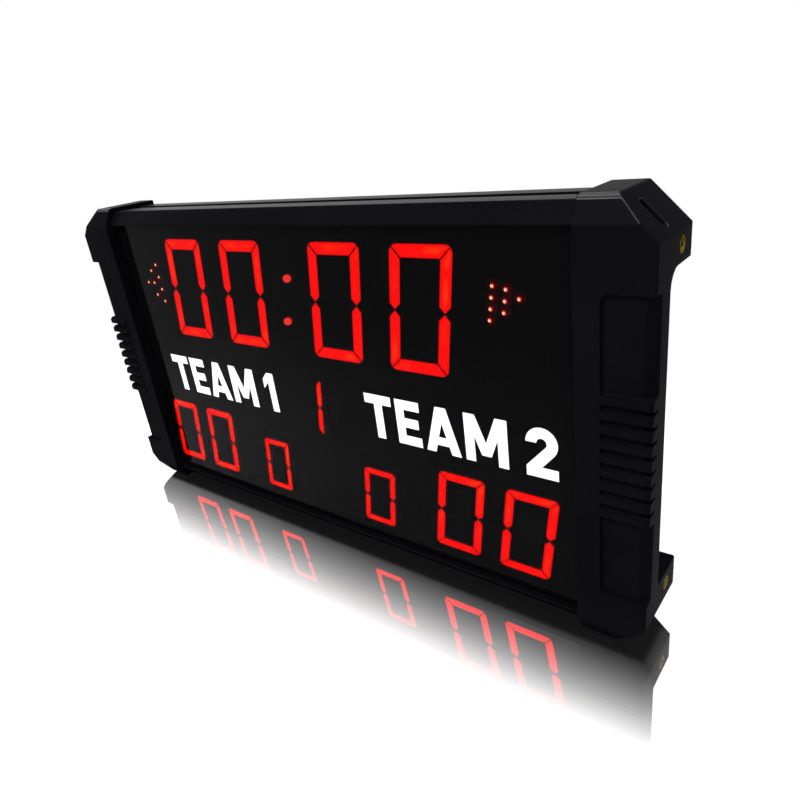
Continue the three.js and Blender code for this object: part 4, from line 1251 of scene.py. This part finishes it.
def polished_floor():
    finish = Finish("polished_floor")
    lit = finish.node("ShaderNodeBsdfDiffuse", inputs={"Color": (0.94, 0.94, 0.94, 1)})
    # A painted shade: for every ray but the camera's, the floor under the board is this dark sheet.
    painted_shade_under = finish.node("ShaderNodeBsdfDiffuse", inputs={"Color": (0.01, 0.01, 0.01, 1)})
    mirror = finish.node("ShaderNodeBsdfGlossy", inputs={"Color": WHITE, "Roughness": 0.02})
    plain = finish.node("ShaderNodeEmission", inputs={"Color": WHITE, "Strength": 1.0})

    def mix(factor, first, second):
        return finish.node("ShaderNodeMixShader", inputs={0: factor, 1: first, 2: second})

    seen = finish.node("ShaderNodeLightPath", output="Is Camera Ray")
    beside = distance_outside(finish, "X", case_corner.x)
    before = distance_outside(finish, "Y", case_corner.y)
    away = beside.math("MAXIMUM", beside, before)
    side = (along_axis(finish, "X") / case_corner.x * 0.5 + 0.5).bounded()
    near = (away / (side * (RIGHT_REACH - LEFT_REACH) + LEFT_REACH)).bounded()
    base = side * (RIGHT_VEIL - LEFT_VEIL) + LEFT_VEIL
    past_contact = (away / CONTACT_REACH + 0.5).bounded()
    veil = (base - CONTACT_VEIL) * past_contact + CONTACT_VEIL + (1 - base) * near
    mirrored = (1 - veil.math("POWER", veil, VEIL_POWER)) * seen
    even = (1 - near / EVEN_REACH).bounded() * seen
    far = (away * FAR_PER_METRE - FAR_DELAY).bounded()
    # Under the board, light that bounces off the floor meets the painted shade instead of the lit
    # white.
    milky = mix(even, mix(past_contact, painted_shade_under, lit), plain)
    finish.finish_with(mix(far, mix(mirrored, milky, mirror), plain))
    return finish.material


def make_floor():
    corners = [(-1, -1), (1, -1), (1, 1), (-1, 1)]
    mesh = bpy.data.meshes.new("floor")
    mesh.from_pydata([(x * FLOOR_REACH, y * FLOOR_REACH, 0) for x, y in corners], [], [(0, 1, 2, 3)])
    floor = new_piece("floor", mesh, polished_floor())
    print("floor", [round(v, 2) for v in floor.dimensions])


make_floor()

# %% [markdown]
# ## Studio light
#
# A black, glossy object shows mostly what it mirrors. Light from everywhere would leave it flat,
# so a broad lamp above gives the tops of the caps and rails their sheen, and a small one at the
# front left lights the faces that look at the camera. The world adds plain light. The camera and
# every mirror see it as white.

# %% Lamps and world
ROOM_LIGHT = 0.7


def make_lamp(name, place, aim, size, power):
    data = bpy.data.lights.new(name, "AREA")
    data.shape = "RECTANGLE"
    data.size, data.size_y = size
    data.energy = power
    lamp = bpy.data.objects.new(name, data)
    bpy.context.scene.collection.objects.link(lamp)
    lamp.location = place
    lamp.rotation_euler = (Vector(aim) - Vector(place)).to_track_quat("-Z", "Y").to_euler()
    print(name, "power", power)


def make_world():
    """Plain light for everything, and white for what the camera or a mirror sees."""
    world = bpy.data.worlds.new("studio")
    bpy.context.scene.world = world
    world.use_nodes = True
    world.node_tree.nodes.clear()
    wiring = Wiring(world.node_tree)
    camera_ray, glossy_ray, clear_ray = (
        wiring.node("ShaderNodeLightPath", output=f"Is {kind} Ray")
        for kind in ("Camera", "Glossy", "Transmission"))
    seen = (camera_ray + glossy_ray + clear_ray).bounded()
    light = wiring.node("ShaderNodeBackground", inputs={"Color": WHITE, "Strength": ROOM_LIGHT})
    white = wiring.node("ShaderNodeBackground", inputs={"Color": WHITE, "Strength": 1.0})
    mixed = wiring.node("ShaderNodeMixShader", inputs={0: seen, 1: light, 2: white})
    wiring.node("ShaderNodeOutputWorld", inputs={"Surface": mixed})


make_world()
make_lamp("top_lamp", place=(0.1, 0.4, 2.1), aim=(0.1, 0.39, 0), size=(1.8, 0.9), power=34)
make_lamp("front_lamp", place=(-0.39, -1.12, 1.6), aim=(0.1, 0, 0.15), size=(0.44, 0.44), power=38)
bpy.context.scene.view_settings.view_transform = "Standard"
